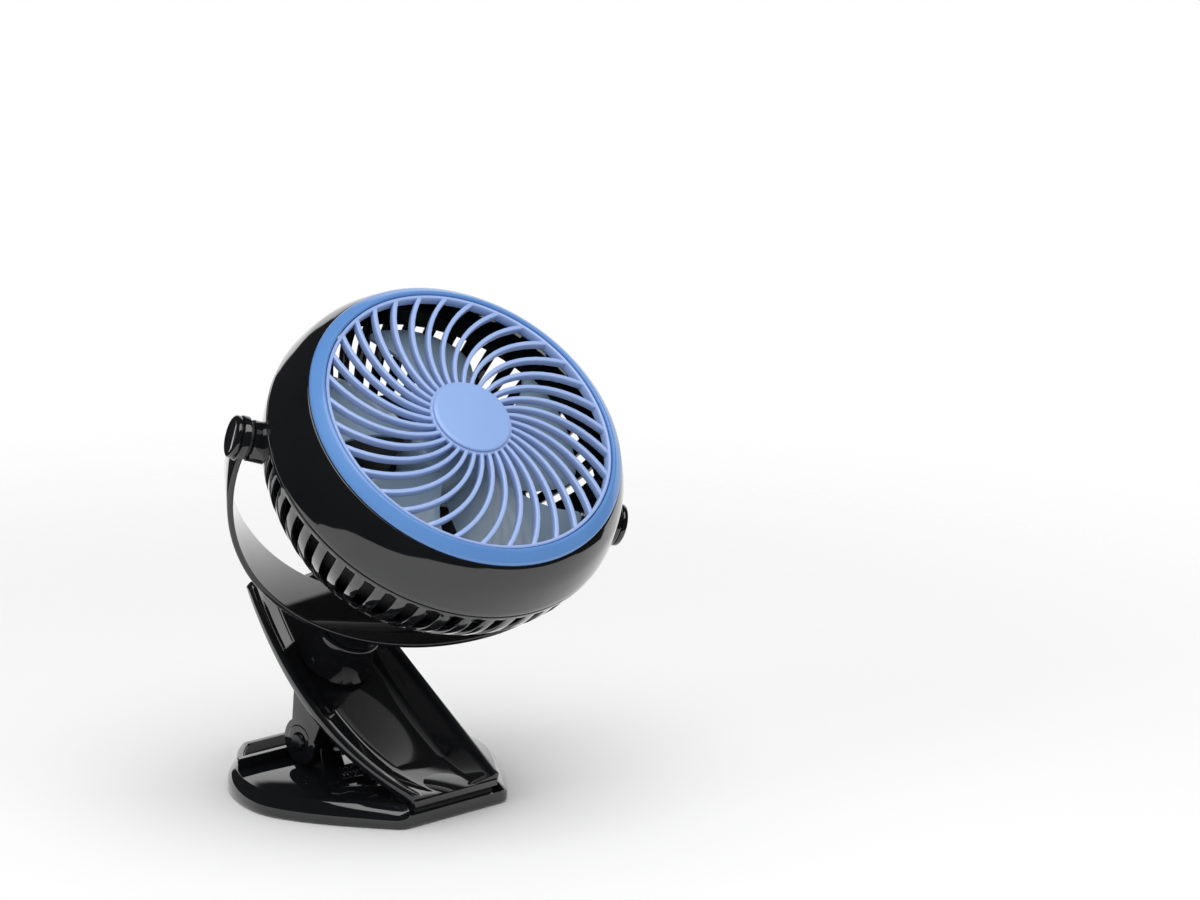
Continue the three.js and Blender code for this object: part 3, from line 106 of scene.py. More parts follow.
def only(piece):
    """Selects this piece alone and makes it the active one."""
    bpy.ops.object.select_all(action="DESELECT")
    piece.select_set(True)
    bpy.context.view_layer.objects.active = piece


def finished(piece, kind, **settings):
    """Adds a modifier and applies it."""
    only(piece)
    modifier = piece.modifiers.new(kind.lower(), kind)
    for key, value in settings.items():
        setattr(modifier, key, value)
    bpy.ops.object.modifier_apply(modifier=modifier.name)
    return piece


def rounded(piece, width, segments=2, angle=35):
    """Rounds the edges sharper than an angle, width in millimetres."""
    return finished(piece, "BEVEL", width=width * MM, segments=segments, limit_method="ANGLE",
                    angle_limit=math.radians(angle), use_clamp_overlap=True, harden_normals=False)


def smooth(piece, angle=35):
    """Shades smooth, apart from edges sharper than the angle."""
    only(piece)
    bpy.ops.object.shade_smooth_by_angle(angle=math.radians(angle))
    return piece


def joined(first, *others):
    """Joins the others into the first."""
    bpy.ops.object.select_all(action="DESELECT")
    for other in others:
        other.select_set(True)
    first.select_set(True)
    bpy.context.view_layer.objects.active = first
    bpy.ops.object.join()
    return first


def carved(piece, tool):
    """Cuts the tool's shape out of the piece."""
    finished(piece, "BOOLEAN", object=tool, operation="DIFFERENCE", solver="EXACT")
    bpy.data.objects.remove(tool)
    return piece


def trimmed(piece, *cuts):
    """Cuts off what lies past each [y, direction] plane and closes the end."""
    only(piece)
    bpy.ops.object.mode_set(mode="EDIT")
    for y, towards in cuts:
        bpy.ops.mesh.select_all(action="SELECT")
        bpy.ops.mesh.bisect(plane_co=(0, y * MM, 0), plane_no=(0, towards, 0), clear_outer=True,
                            use_fill=True)
    bpy.ops.object.mode_set(mode="OBJECT")
    return piece


def in_a_ring(piece, count):
    """The piece and its copies, spread evenly about Z."""
    pieces = [piece]
    for i in range(1, count):
        copy = piece.copy()
        copy.data = piece.data.copy()
        bpy.context.scene.collection.objects.link(copy)
        copy.data.transform(Matrix.Rotation(2 * math.pi * i / count, 4, "Z"))
        pieces.append(copy)
    return pieces


def pick(test, kind="VERT"):
    """Selects what passes a test, in edit mode."""
    mesh = bmesh.from_edit_mesh(bpy.context.edit_object.data)
    bpy.ops.mesh.select_mode(type=kind)
    bpy.ops.mesh.select_all(action="DESELECT")
    for item in {"VERT": mesh.verts, "EDGE": mesh.edges, "FACE": mesh.faces}[kind]:
        item.select_set(bool(test(item)))
    mesh.select_flush_mode()
    bmesh.update_edit_mesh(bpy.context.edit_object.data)


def curved(points, steps):
    """A smooth line through profile points."""
    line = []
    for i in range(len(points) - 1):
        before, a, b, after = (Vector(points[min(max(k, 0), len(points) - 1)])
                               for k in (i - 1, i, i + 1, i + 2))
        for k in range(steps):
            t = k / steps
            line.append(0.5 * ((2 * a) + (b - before) * t + (2 * before - 5 * a + 4 * b - after) * t * t
                               + (3 * a - before - 3 * b + after) * t ** 3))
    return [tuple(point) for point in line] + [tuple(points[-1])]


def spun(name, profile, sides=96, closed=False):
    """Turns [radius, height] points about Z: a circle is added and extruded ring by ring."""
    radius, height = profile[0]
    piece = start(name, bpy.ops.mesh.primitive_circle_add, vertices=sides,
                  radius=max(radius, POINT) * MM, location=(0, 0, 0))
    bpy.ops.mesh.select_all(action="SELECT")
    bpy.ops.transform.translate(value=(0, 0, height * MM))
    for wide, high in profile[1:] + ([profile[0]] if closed else []):
        bpy.ops.mesh.extrude_edges_move(
            TRANSFORM_OT_translate={"value": (0, 0, (high - height) * MM)})
        factor = max(wide, POINT) / max(radius, POINT)
        bpy.ops.transform.resize(value=(factor, factor, 1), center_override=(0, 0, 0))
        radius, height = wide, high
    if not closed and radius <= POINT:
        bpy.ops.mesh.merge(type="CENTER")
    bpy.ops.mesh.select_all(action="SELECT")
    bpy.ops.mesh.remove_doubles(threshold=1e-5)
    return piece


def swept(name, rings):
    """Carries a closed outline through a row of outlines: it is extruded and each copy set in place."""
    piece = start(name, bpy.ops.mesh.primitive_circle_add, vertices=len(rings[0]), radius=MM,
                  fill_type="NGON")
    mesh = bmesh.from_edit_mesh(piece.data)
    for vert, point in zip(mesh.verts, rings[0]):
        vert.co = Vector(point) * MM
    bmesh.update_edit_mesh(piece.data)
    bpy.ops.mesh.select_mode(type="FACE")
    bpy.ops.mesh.select_all(action="SELECT")
    for before, ring in zip(rings, rings[1:]):
        bpy.ops.mesh.extrude_region_move()
        mesh = bmesh.from_edit_mesh(piece.data)
        for vert in [v for v in mesh.verts if v.select]:
            nearest = min(range(len(before)), key=lambda k: (vert.co - Vector(before[k]) * MM).length_squared)
            vert.co = Vector(ring[nearest]) * MM
        bmesh.update_edit_mesh(piece.data)
    return done(piece)


def across(name, outline, x0, x1):
    """A [y, z] outline carried across the width."""
    return swept(name, [[(x, y, z) for y, z in outline] for x in (x0, x1)])


def shown(piece, body, slot, material, *nodes):
    """Hangs a finished piece on its body, if it has one, in place of the plain nodes it stands for."""
    piece.data.materials.clear()
    piece.data.materials.append(material)
    if body:
        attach(piece, body)
    if nodes:
        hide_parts(*nodes)
    return piece


def refined(node, body, slot, material, edge=0.15, angle=35):
    """A copy of a small plain node with its corners merged and its edges rounded."""
    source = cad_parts[node]
    piece = bpy.data.objects.new(f"{node}_fine", source.data.copy())
    bpy.context.scene.collection.objects.link(piece)
    only(piece)
    bpy.ops.object.mode_set(mode="EDIT")
    bpy.ops.mesh.select_all(action="SELECT")
    bpy.ops.mesh.remove_doubles(threshold=1e-6)
    bpy.ops.mesh.dissolve_limited(angle_limit=math.radians(1))
    bpy.ops.object.mode_set(mode="OBJECT")
    if edge:
        rounded(piece, edge, 2, angle)
    smooth(piece, angle)
    return shown(piece, body, slot, material, node)


# ---------------------------------------------------------------- shader maths

class Wave:
    """One output socket of a node, with arithmetic that adds Math nodes."""

    def __init__(self, finish, socket):
        self.finish, self.socket = finish, socket

    def _math(self, operation, *values):
        return self.finish.node("ShaderNodeMath", {"operation": operation}, *values)

    def __add__(self, other):
        return self._math("ADD", self, other)

    def __mul__(self, other):
        return self._math("MULTIPLY", self, other)

    def __sub__(self, other):
        return self._math("SUBTRACT", self, other)

    def __rsub__(self, other):
        return self._math("SUBTRACT", other, self)

    __radd__ = __add__
    __rmul__ = __mul__

    def above(self, edge):
        return self._math("GREATER_THAN", self, edge)


class Finish:
    """A material under construction."""

    def __init__(self, name, colour, roughness, **sockets):
        self.material = bpy.data.materials.new(name)
        self.material.use_nodes = True
        self.tree = self.material.node_tree
        self.shader = self.tree.nodes["Principled BSDF"]
        self.set("Base Color", (*colour, 1))
        self.set("Roughness", roughness)
        for key, value in sockets.items():
            self.set(key.replace("_", " "), value)

    def set(self, socket, value):
        target = self.shader.inputs[socket]
        if isinstance(value, Wave):
            self.tree.links.new(value.socket, target)
        else:
            target.default_value = value

    def node(self, kind, settings=None, *values, output=0, **named):
        made = self.tree.nodes.new(kind)
        for key, value in (settings or {}).items():
            setattr(made, key, value)
        for key, value in [*enumerate(values), *named.items()]:
            target = made.inputs[key.replace("_", " ") if isinstance(key, str) else key]
            if isinstance(value, Wave):
                self.tree.links.new(value.socket, target)
            else:
                target.default_value = value
        return Wave(self, made.outputs[output])

    def place(self):
        return self.node("ShaderNodeTexCoord", output="Object")

    def stretched(self, scale):
        """Object coordinates, drawn out along the axes with a small scale."""
        return self.node("ShaderNodeMapping", None, Vector=self.place(), Scale=scale)

    def noise(self, scale, detail=2.0, where=None):
        return self.node("ShaderNodeTexNoise", None, Vector=where or self.place(), Scale=scale,
                         Detail=detail)

    def mixed(self, amount, first, second):
        made = self.tree.nodes.new("ShaderNodeMix")
        made.data_type = "RGBA"
        for index, value in ((0, amount), (6, first), (7, second)):
            if isinstance(value, Wave):
                self.tree.links.new(value.socket, made.inputs[index])
            else:
                made.inputs[index].default_value = (*value, 1) if isinstance(value, tuple) else value
        return Wave(self, made.outputs[2])

    def bump(self, height, depth):
        self.set("Normal", self.node("ShaderNodeBump", None, Height=height, Strength=1.0,
                                     Distance=depth * MM))


def gloss_black():
    """Polished black moulding: faint flow waves, finger haze and a few fine hairline rubs."""
    finish = Finish("gloss_black", (0.006, 0.0065, 0.0075), 0.09, IOR=1.5, Coat_Roughness=0.03)
    haze = finish.noise(38, 3)
    flow = finish.noise(14, 1)
    rubs = finish.noise(900, 2, finish.stretched((1, 0.08, 0.25)))
    finish.set("Roughness", haze * 0.07 + 0.02)
    finish.set("Base Color", finish.mixed(haze, (0.0045, 0.005, 0.006), (0.010, 0.0105, 0.012)))
    finish.set("Coat Weight", haze * 0.3 + 0.55)
    finish.bump(flow * 1.0 + rubs * 0.02, 0.05)
    return finish.material


def matt_black():
    """Spark-eroded black moulding."""
    finish = Finish("matt_black", (0.015, 0.015, 0.016), 0.55)
    grain = finish.noise(2600, 3)
    finish.set("Roughness", grain * 0.2 + 0.45)
    finish.set("Base Color", finish.mixed(finish.noise(60), (0.011, 0.011, 0.012), (0.020, 0.020, 0.021)))
    finish.bump(grain, 0.05)
    return finish.material


def dark_rubber():
    """Rubber pads: dull, slightly dusty, finely pitted."""
    finish = Finish("dark_rubber", (0.022, 0.022, 0.022), 0.85)
    dust = finish.noise(180, 4)
    pits = finish.noise(3200, 2)
    finish.set("Base Color", finish.mixed(dust, (0.014, 0.014, 0.014), (0.038, 0.037, 0.035)))
    finish.set("Roughness", dust * 0.15 + 0.75)
    finish.bump(pits, 0.06)
    return finish.material


def tinted(name, low, high, roughness, shine=0.25, **sockets):
    """Self-coloured moulding with a soft drift of tone and a very fine grain."""
    finish = Finish(name, low, roughness, Coat_Roughness=0.12, **sockets)
    drift = finish.noise(26, 2)
    grain = finish.noise(1900, 2)
    finish.set("Base Color", finish.mixed(drift, low, high))
    finish.set("Roughness", drift * 0.1 + (roughness - 0.05))
    finish.set("Coat Weight", drift * 0.2 + shine)
    finish.bump(grain * 0.5 + drift, 0.03)
    return finish.material


def bright_steel():
    """Plated steel with drawn streaks."""
    finish = Finish("bright_steel", (0.55, 0.55, 0.56), 0.28, Metallic=1.0)
    streaks = finish.noise(700, 3, finish.stretched((0.1, 1, 1)))
    finish.set("Base Color", finish.mixed(streaks, (0.42, 0.42, 0.43), (0.66, 0.66, 0.67)))
    finish.set("Roughness", streaks * 0.25 + 0.16)
    finish.bump(streaks, 0.01)
    return finish.material


def lacquered_board():
    """Green lacquer over raised tracks."""
    finish = Finish("lacquered_board", (0.015, 0.10, 0.04), 0.35)
    tracks = finish.noise(420, 0).above(0.55)
    finish.set("Base Color", finish.mixed(tracks, (0.012, 0.075, 0.03), (0.03, 0.16, 0.07)))
    finish.bump(tracks, 0.03)
    return finish.material


black = gloss_black()
matt = matt_black()
rubber = dark_rubber()
blue = tinted("bezel_blue", (0.095, 0.245, 0.57), (0.12, 0.29, 0.645), 0.28, 0.3)
pale = tinted("grille_blue", (0.30, 0.43, 0.76), (0.37, 0.50, 0.83), 0.34, 0.2)
cap = tinted("cap_blue", (0.25, 0.40, 0.76), (0.30, 0.46, 0.82), 0.3, 0.3)
cloudy = tinted("cloudy_blade", (0.33, 0.46, 0.59), (0.44, 0.58, 0.69), 0.3, 0.3,
                Transmission_Weight=0.35)
steel = bright_steel()
nylon = tinted("dark_nylon", (0.020, 0.021, 0.023), (0.027, 0.028, 0.030), 0.5, 0.0)
blued = tinted("blued_steel", (0.045, 0.047, 0.052), (0.075, 0.077, 0.082), 0.3, 0.1, Metallic=1.0)
wrap = tinted("cell_wrap", (0.03, 0.16, 0.09), (0.05, 0.22, 0.13), 0.3, 0.3)
board = lacquered_board()
clear = tinted("clear_lens", (0.75, 0.82, 0.85), (0.82, 0.88, 0.90), 0.12, 0.3, Transmission_Weight=0.8)

# ---------------------------------------------------------------- fan head

front_profile = curved([(58.5, 33.3), (60.3, 30.8), (62.7, 26.3), (64.4, 20.6), (65.3, 16)], 4) + [
    (65.45, 14.6), (65.35, 13.9), (64.9, 13.5), (63.3, 13.5), (63.2, 17), (62.3, 21.5),
    (60.3, 26.3), (57.6, 31), (56.6, 33.1), (57.1, 33.4), (58.1, 33.5)]
front_shell = done(spun("front_shell_fine", front_profile, 144, closed=True), HEAD)
smooth(front_shell, 40)
shown(front_shell, "head", "black_gloss", black, "front_shell")

PITCHES = 50
SLOT_FROM, SLOT_TO = -24.2, 11
cover_profile = [(65.35, 13.2), (65.3, 12.6), (65.0, 11), (64.6, 8.4), (63.9, 4.6), (62.5, 0), (60.7, -4),
                 (58.5, -8), (55.8, -12.0), (53.2, -15.8), (50.3, -19.8), (47.0, -24), (43.4, -27.3),
                 (39.6, -30.0), (35.4, -32.3), (30.5, -34.0), (26.5, -34.8), (23.5, -35.0)]
rear_cover = spun("rear_cover_fine", cover_profile, PITCHES * 4)


def in_slot(face):
    """Faces of the open slots: two of the four facets of each pitch, away from the pivots."""
    middle = face.calc_center_median()
    pitch = math.degrees(math.atan2(middle.y, middle.x)) * PITCHES / 360
    step = round(pitch)
    half = PITCHES // 2
    near_pivot = min(step % half, half - step % half) <= 1
    return abs(pitch - step) < 0.25 and not near_pivot and SLOT_FROM < middle.z / MM < SLOT_TO


pick(in_slot, "FACE")
bpy.ops.mesh.delete(type="FACE")
done(rear_cover)
finished(rear_cover, "SOLIDIFY", thickness=2.1 * MM, offset=-1, use_even_offset=True)
rounded(rear_cover, 0.35, 2, 40)
rear_cover.data.transform(HEAD)
smooth(rear_cover, 40)

cover_rim = done(spun("rear_cover_rim", [(62.8, 9), (62.8, 17.3), (61.3, 17.3), (61.3, 9)],
                      96, closed=True), HEAD)
rear_floor = done(spun("rear_cover_floor", [(23.8, -34.9), (21.0, -34.9), (20.3, -34.7), (20.3, -33.5),
                                            (0, -33.5)], 96), HEAD)
bosses = []
for side in (1, -1):
    boss = spun("pivot_boss", [(7.3, 58.5), (7.3, 66.5), (7.0, 66.8), (2.2, 66.8), (2.2, 58.5)],
                64, closed=True)
    bosses.append(done(boss, HEAD @ turn(90 * side, "Y")))
joined(rear_cover, cover_rim, rear_floor, *bosses)
smooth(rear_cover, 40)
shown(rear_cover, "head", "black_gloss", black, "rear_cover")

bezel_profile = [(57.7, 33.55), (58.0, 33.9), (58.0, 34.6), (57.8, 35.1), (57.3, 35.6), (56.2, 36.5),
                 (54.9, 37.5), (54.4, 37.82), (53.9, 37.9), (53.5, 37.7), (53.3, 37.3), (53.3, 33.1),
                 (54.6, 33.0), (54.6, 30.6), (56.1, 30.6), (56.1, 33.5)]
bezel = done(spun("front_bezel_fine", bezel_profile, 144, closed=True), HEAD)
smooth(bezel, 50)
shown(bezel, "head", "bezel_blue", blue, "front_bezel")

# ---------------------------------------------------------------- grille

RIBS = 33
RIB_START, RIB_END = 14.4, 52.4
RIB_RIM = 37.2
RIB_WIDE, RIB_DEEP, RIB_SWEEP = 1.45, 3.0, 33


def rib_point(share):
    """A point of the rib's upper line, from the hub plate at 0 to the ring at 1."""
    radius = RIB_START + (RIB_END - RIB_START) * share
    angle = -math.radians(RIB_SWEEP) * max(share, 0) ** 1.12
    crown = RIB_RIM + 1.2 * (1 - (radius / 52.3) ** 2)
    return Vector((radius * math.cos(angle), radius * math.sin(angle), crown)) * MM


def grille_rib():
    """One swept rib: a small upright plane is extruded along the rib's line, then rounded."""
    steps = 12
    half_deep = Vector((0, 0, RIB_DEEP / 2 * MM))
    piece = start("grille_rib", bpy.ops.mesh.primitive_plane_add, size=MM,
                  location=rib_point(0) - half_deep, rotation=(math.pi / 2, 0, math.pi / 2))
    bpy.ops.mesh.select_all(action="SELECT")
    bpy.ops.transform.resize(value=(1, RIB_WIDE, RIB_DEEP), center_override=rib_point(0) - half_deep)
    bpy.ops.object.mode_set(mode="OBJECT")
    bpy.ops.object.transform_apply(location=True, rotation=True, scale=True)
    bpy.ops.object.mode_set(mode="EDIT")
    bpy.ops.mesh.select_mode(type="FACE")
    bpy.ops.mesh.select_all(action="SELECT")
    heading = 0.0
    for i in range(1, steps + 1):
        here, before = rib_point(i / steps), rib_point((i - 1) / steps)
        along = rib_point(min(i / steps + 0.01, 1.0)) - rib_point(i / steps - 0.01)
        towards = math.atan2(along.y, along.x)
        bpy.ops.mesh.extrude_region_move(TRANSFORM_OT_translate={"value": here - before})
        bpy.ops.transform.rotate(value=-(towards - heading), orient_axis="Z",
                                 center_override=here - half_deep)
        bpy.ops.transform.resize(value=(1.012, 1.012, 1), center_override=here)
        heading = towards
    done(piece)
    return rounded(piece, 0.42, 3, 60)


ribs = in_a_ring(grille_rib(), RIBS)
grille_ring = done(spun("grille_ring", [(51.7, 33.9), (51.6, 36.8), (51.9, 37.3), (52.5, 37.45), (52.9, 37.2),
                                        (53.0, 36.6), (53.0, 33.9)], 144, closed=True))
grille_hub = done(spun("grille_hub", [(0, 36.1), (14.6, 36.1), (15.2, 36.7), (15.2, 37.9), (14.9, 38.25),
                                      (14.5, 38.3), (0, 38.3)], 96))
grille = joined(grille_ring, grille_hub, *ribs)
grille.name = grille.data.name = "front_grille_fine"
grille.data.transform(HEAD)
smooth(grille, 45)
shown(grille, "head", "grille_blue", pale, "front_grille")

cap_profile = [(0, 38.5), (14.2, 38.5), (14.4, 38.7), (14.4, 39.0), (14.15, 39.3)] + curved(
    [(13.6, 39.42), (9.5, 39.62), (5, 39.8), (0, 39.85)], 3)
hub_cap = done(spun("hub_cap_fine", cap_profile, 96), HEAD)
smooth(hub_cap, 40)
shown(hub_cap, "head", "cap_blue", cap, "hub_cap")

# ---------------------------------------------------------------- impeller

FAN = HEAD @ turn(15, "Z")
BLADES = 5
BLADE_ROOT, BLADE_TIP = 14.4, 51.4
BLADE_MIDDLE = 16


def fan_blade():
    """A swept blade: an arc of the hub is extruded outwards in steps, turned and flattened."""
    piece = start("fan_blade", bpy.ops.mesh.primitive_circle_add, vertices=72, radius=BLADE_ROOT * MM)
    pick(lambda vert: abs(math.degrees(math.atan2(vert.co.y, vert.co.x))) > 26)
    bpy.ops.mesh.delete(type="VERT")
    for degrees in range(-25, 26, 5):
        share = degrees / 50
        pick(lambda vert, a=degrees: abs(math.degrees(math.atan2(vert.co.y, vert.co.x)) - a) < 1)
        height = BLADE_MIDDLE + 12 * share + 9.6 * (0.25 - share * share)
        bpy.ops.transform.translate(value=(0, 0, height * MM))
    bpy.ops.mesh.select_all(action="SELECT")
    steps = 10
    radius, rise = BLADE_ROOT, 12.0
    for i in range(1, steps + 1):
        share = i / steps
        wide = BLADE_ROOT + (BLADE_TIP - BLADE_ROOT) * share
        flatter = 12.0 - 4.0 * share
        bpy.ops.mesh.extrude_edges_move(TRANSFORM_OT_translate={"value": (0, 0, 0)})
        bpy.ops.transform.resize(value=(wide / radius, wide / radius, flatter / rise),
                                 center_override=(0, 0, BLADE_MIDDLE * MM))
        bpy.ops.transform.rotate(value=-math.radians(16 * (share ** 2 - (share - 0.1) ** 2)),
                                 orient_axis="Z", center_override=(0, 0, 0))
        radius, rise = wide, flatter
    # the tip's corners are rounded off
    pick(lambda vert: vert.co.xy.length > 50 * MM and len(vert.link_edges) == 2)
    bpy.ops.mesh.bevel(offset=9 * MM, segments=5, affect="VERTICES")
    done(piece)
    finished(piece, "SOLIDIFY", thickness=1.3 * MM, offset=0)
    return rounded(piece, 0.4, 2, 50)


blades = in_a_ring(fan_blade(), BLADES)
hub = done(spun("impeller_hub", [(1.4, 11), (3.4, 11), (3.4, 19), (13.2, 19), (13.2, 6), (14.8, 6), (15, 6.3),
                                 (15, 21), (14.4, 22.4), (13, 23.4), (10, 24), (1.4, 24)], 96, closed=True))
impeller = joined(hub, *blades)
impeller.name = impeller.data.name = "impeller_fine"
impeller.data.transform(FAN)
smooth(impeller, 40)
shown(impeller, "fan", "blade_white", cloudy, "impeller")

# ---------------------------------------------------------------- yoke

def strap():
    """Half hoop: a flat plate end is extruded round the tilt axis and widened towards the middle."""
    inner, outer, half, swell = 68.6, 70.8, 7.4, 4.6
    middle = Vector(((inner + outer) / 2 * MM, 0, 0))
    centre = Vector((0, 0, PIVOT_HEIGHT * MM))
    piece = start("yoke_strap_fine", bpy.ops.mesh.primitive_plane_add, size=MM,
                  location=centre + middle)
    bpy.ops.mesh.select_mode(type="FACE")
    bpy.ops.mesh.select_all(action="SELECT")
    bpy.ops.transform.resize(value=(outer - inner, 2 * half, 1), center_override=centre + middle)
    steps = 72
    width = half
    for i in range(1, steps + 1):
        angle = math.pi * i / steps
        wide = half + swell * min(1, 1.35 * math.sin(angle))
        bpy.ops.mesh.extrude_region_move(TRANSFORM_OT_translate={"value": (0, 0, 0)})
        bpy.ops.transform.rotate(value=-math.pi / steps, orient_axis="Y", center_override=centre)
        bpy.ops.transform.resize(value=(1, wide / width, 1), center_override=(0, 0, 0))
        width = wide
    done(piece)
    return rounded(piece, 0.7, 3, 60)


yoke = strap()
parts = [done(spun("yoke_boss", [(3, 0.3), (10.4, 0.3), (10.9, 0.7), (11, 1.2), (11, 4.6), (11.4, 5.4),
                                 (3, 5.4)], 96, closed=True))]
for side in (1, -1):
    disc = spun("pivot_disc", [(2.2, 68.6), (8.0, 68.6), (8.0, 70.6), (7.8, 71.0), (7.4, 71.2), (3.9, 71.2),
                               (3.9, 69.4), (2.2, 69.4)], 72, closed=True)
    parts.append(done(disc, lift(0, 0, PIVOT_HEIGHT) @ turn(90 * side, "Y")))
joined(yoke, *parts)
yoke.data.transform(YOKE)
smooth(yoke, 40)
shown(yoke, "yoke", "black_gloss", black, "yoke_strap")

for side, name in ((1, "right"), (-1, "left")):
    knob = spun(f"knob_cap_{name}_fine", [(0, 71.5), (7.5, 71.5), (7.6, 71.7), (7.6, 72.7), (7.4, 73.15),
                                          (6.9, 73.45), (6.3, 73.6), (5.7, 73.5), (5.3, 73.35), (0, 73.35)], 72)
    done(knob, YOKE @ lift(0, 0, PIVOT_HEIGHT) @ turn(90 * side, "Y"))
    smooth(knob, 40)
    shown(knob, "yoke", "black_gloss", black, f"knob_cap_{name}")

# ---------------------------------------------------------------- arm, the upper jaw

ARM_POLES = [Vector((-46, 11.8)), Vector((-1, 24.6)), Vector((44, 70.4))]
ARM_DEPTH, ARM_WALL = 4.6, 2.4
ARM_FRONT_HALF, ARM_BULGE = 20.2, 6.5
EAR_OUTSIDE, EAR_WALL, EAR_RADIUS = 22.4, 3.5, 8.5
RIB_PLACE, RIB_HALF = 11, 0.8
FOOT_FRONT = -46


def arm_point(t, offset):
    """A [y, z] point of the arm's long curve, moved square to it."""
    a, b, c = ARM_POLES
    along = ((b - a) * (1 - t) + (c - b) * t).normalized()
    here = a * (1 - t) ** 2 + b * 2 * t * (1 - t) + c * t * t
    return here + Vector((-along.y, along.x)) * offset


def arm_ring(t):
    """The channel section: thin rims, wide sloping flanks and a hollowed floor."""
    half = ARM_FRONT_HALF + ARM_BULGE * 4 * t * (1 - t)
    deep = ARM_DEPTH * min(1, 0.45 + 2.75 * t)
    crease = half - 12.5
    lean = (deep - 0.8) / 9.5
    top = [(half - 1.2, -3.9), (half - 0.35, -3.75), (half, -3.3), (half, -0.6), (half - 0.18, -0.18),
           (half - 0.6, 0), (half - 1.9, 0), (half - 2.3, -0.12), (half - 3, -0.8)]
    top += [(half - 3 - 9.5 * k, -0.8 - lean * 9.5 * k) for k in (0.25, 0.5, 0.75, 0.88)]
    top += [(crease + 0.5, -deep + lean * 0.45), (crease - 0.4, -deep - 0.02), (crease * 0.75, -deep - 0.12),
            (crease * 0.5, -deep - 0.22), (crease * 0.25, -deep - 0.28)]
    under = [(half - 13.5, -deep - ARM_WALL), (half - 7.5, -(deep + ARM_WALL + 3.9) / 2 - 0.3)]
    right = under + top
    outline = [(0, -deep - ARM_WALL - 0.3)] + right + [(0, -deep - 0.3)]
    outline += [(-x, offset) for x, offset in reversed(right)]
    ring = []
    for x, offset in outline:
        y, z = arm_point(t, offset)
        ring.append((x, y, z))
    return ring


arm = swept("arm_shell_fine", [arm_ring(i / 40) for i in range(41)])
rounded(trimmed(arm, (FOOT_FRONT, -1)), 0.25, 2, 50)

arm_parts = []
under_toe = arm_point(18 / 90, -ARM_DEPTH - ARM_WALL).y + 1
toe = across("arm_toe", [(-46, 7.2), (-34, 7.2), (-28, under_toe), (-46, 9.6)], -19.4, 19.4)
arm_parts.append(rounded(toe, 0.35, 2, 40))
for side in (-1, 1):
    ends = sorted((side * (EAR_OUTSIDE - EAR_WALL), side * EAR_OUTSIDE))
    crown = [tuple(arm_point(t, -ARM_WALL)) for t in (0.5, 0.56, 0.62, 0.68)]
    knuckle = [(HINGE_Y + EAR_RADIUS * math.cos(a), HINGE_Z + EAR_RADIUS * math.sin(a))
               for a in (math.radians(60 - 250 * i / 30) for i in range(31))]
    arm_parts.append(rounded(across("arm_ear", crown + knuckle, *ends), 0.5, 3, 40))
    boss = done(spun("ear_boss", [(0, 0), (6.2, 0), (6.2, 0.3), (5.9, 0.55), (5.4, 0.6), (0, 0.6)], 64),
                lift(side * (EAR_OUTSIDE - 0.45), HINGE_Y, HINGE_Z) @ turn(90 * side, "Y"))
    arm_parts.append(boss)
    strip = [tuple(arm_point(0.2 + 0.42 * i / 12, -5.6)) for i in range(13)]
    strip += [tuple(arm_point(0.62 - 0.42 * i / 12, -10)) for i in range(13)]
    ends = side * RIB_PLACE - RIB_HALF, side * RIB_PLACE + RIB_HALF
    arm_parts.append(rounded(across("arm_stiffener", strip, *ends), 0.25, 2, 40))
    web = [(14.5, 26.2), (17.5, 26.2), tuple(arm_point(0.72, -5.6)), tuple(arm_point(0.58, -5.6))]
    arm_parts.append(rounded(across("arm_web", web, *ends), 0.25, 2, 40))
cross_rib = across("arm_cross_rib", [(15.5, 26.2), (17.5, 26.2), (17.5, 33.2), (15.5, 33.2)],
                   -RIB_PLACE, RIB_PLACE)
arm_parts.append(rounded(cross_rib, 0.25, 2, 40))
turret = spun("arm_turret", [(0, -18.6), (8.6, -18.6), (9.6, -18.0)] + curved(
    [(14.4, -14.4), (13.2, -11.0), (12.35, -7.5), (12, -3.5)], 4) + [
        (12, -1.0), (11.85, -0.45), (11.5, -0.1), (11, 0), (2.9, 0), (2.9, -3)], 96)
arm_parts.append(done(turret, SWIVEL))
joined(arm, *arm_parts)
smooth(arm, 38)
shown(arm, "arm", "black_gloss", black, "arm_shell")

# ---------------------------------------------------------------- foot, the lower jaw


FOOT_RADIUS = 52
CHEEK_END, CHEEK_PULL = 4, 16
POST_RADIUS = 7.4


def foot_outline(inset, front_inset):
    """Round behind, with flatter cheeks that run in to the straight front edge."""
    radius = FOOT_RADIUS - inset
    front = FOOT_FRONT + front_inset
    half = math.sqrt(radius * radius - front * front)
    outwards = Vector((math.cos(math.radians(CHEEK_END)), math.sin(math.radians(CHEEK_END))))
    widest = outwards * radius
    pole = widest + Vector((CHEEK_PULL * outwards.y, -CHEEK_PULL * outwards.x))
    cheek = lambda t: Vector((half, front)) * (1 - t) ** 2 + pole * 2 * t * (1 - t) + widest * t * t
    begin = 0.031
    low, corner, high = Vector((half - 3, front)), Vector((half, front)), cheek(begin)
    right = [low * (1 - t) ** 2 + corner * 2 * t * (1 - t) + high * t * t
             for t in (0, 0.2, 0.4, 0.6, 0.8, 1)]
    right += [cheek(begin + (1 - begin) * i / 20) for i in range(1, 20)]
    arc = [Vector((radius * math.cos(a), radius * math.sin(a)))
           for a in (math.radians(CHEEK_END + (180 - 2 * CHEEK_END) * i / 86) for i in range(87))]
    left = [Vector((-point.x, point.y)) for point in reversed(right)]
    return [tuple(point) for point in right + arc + left]


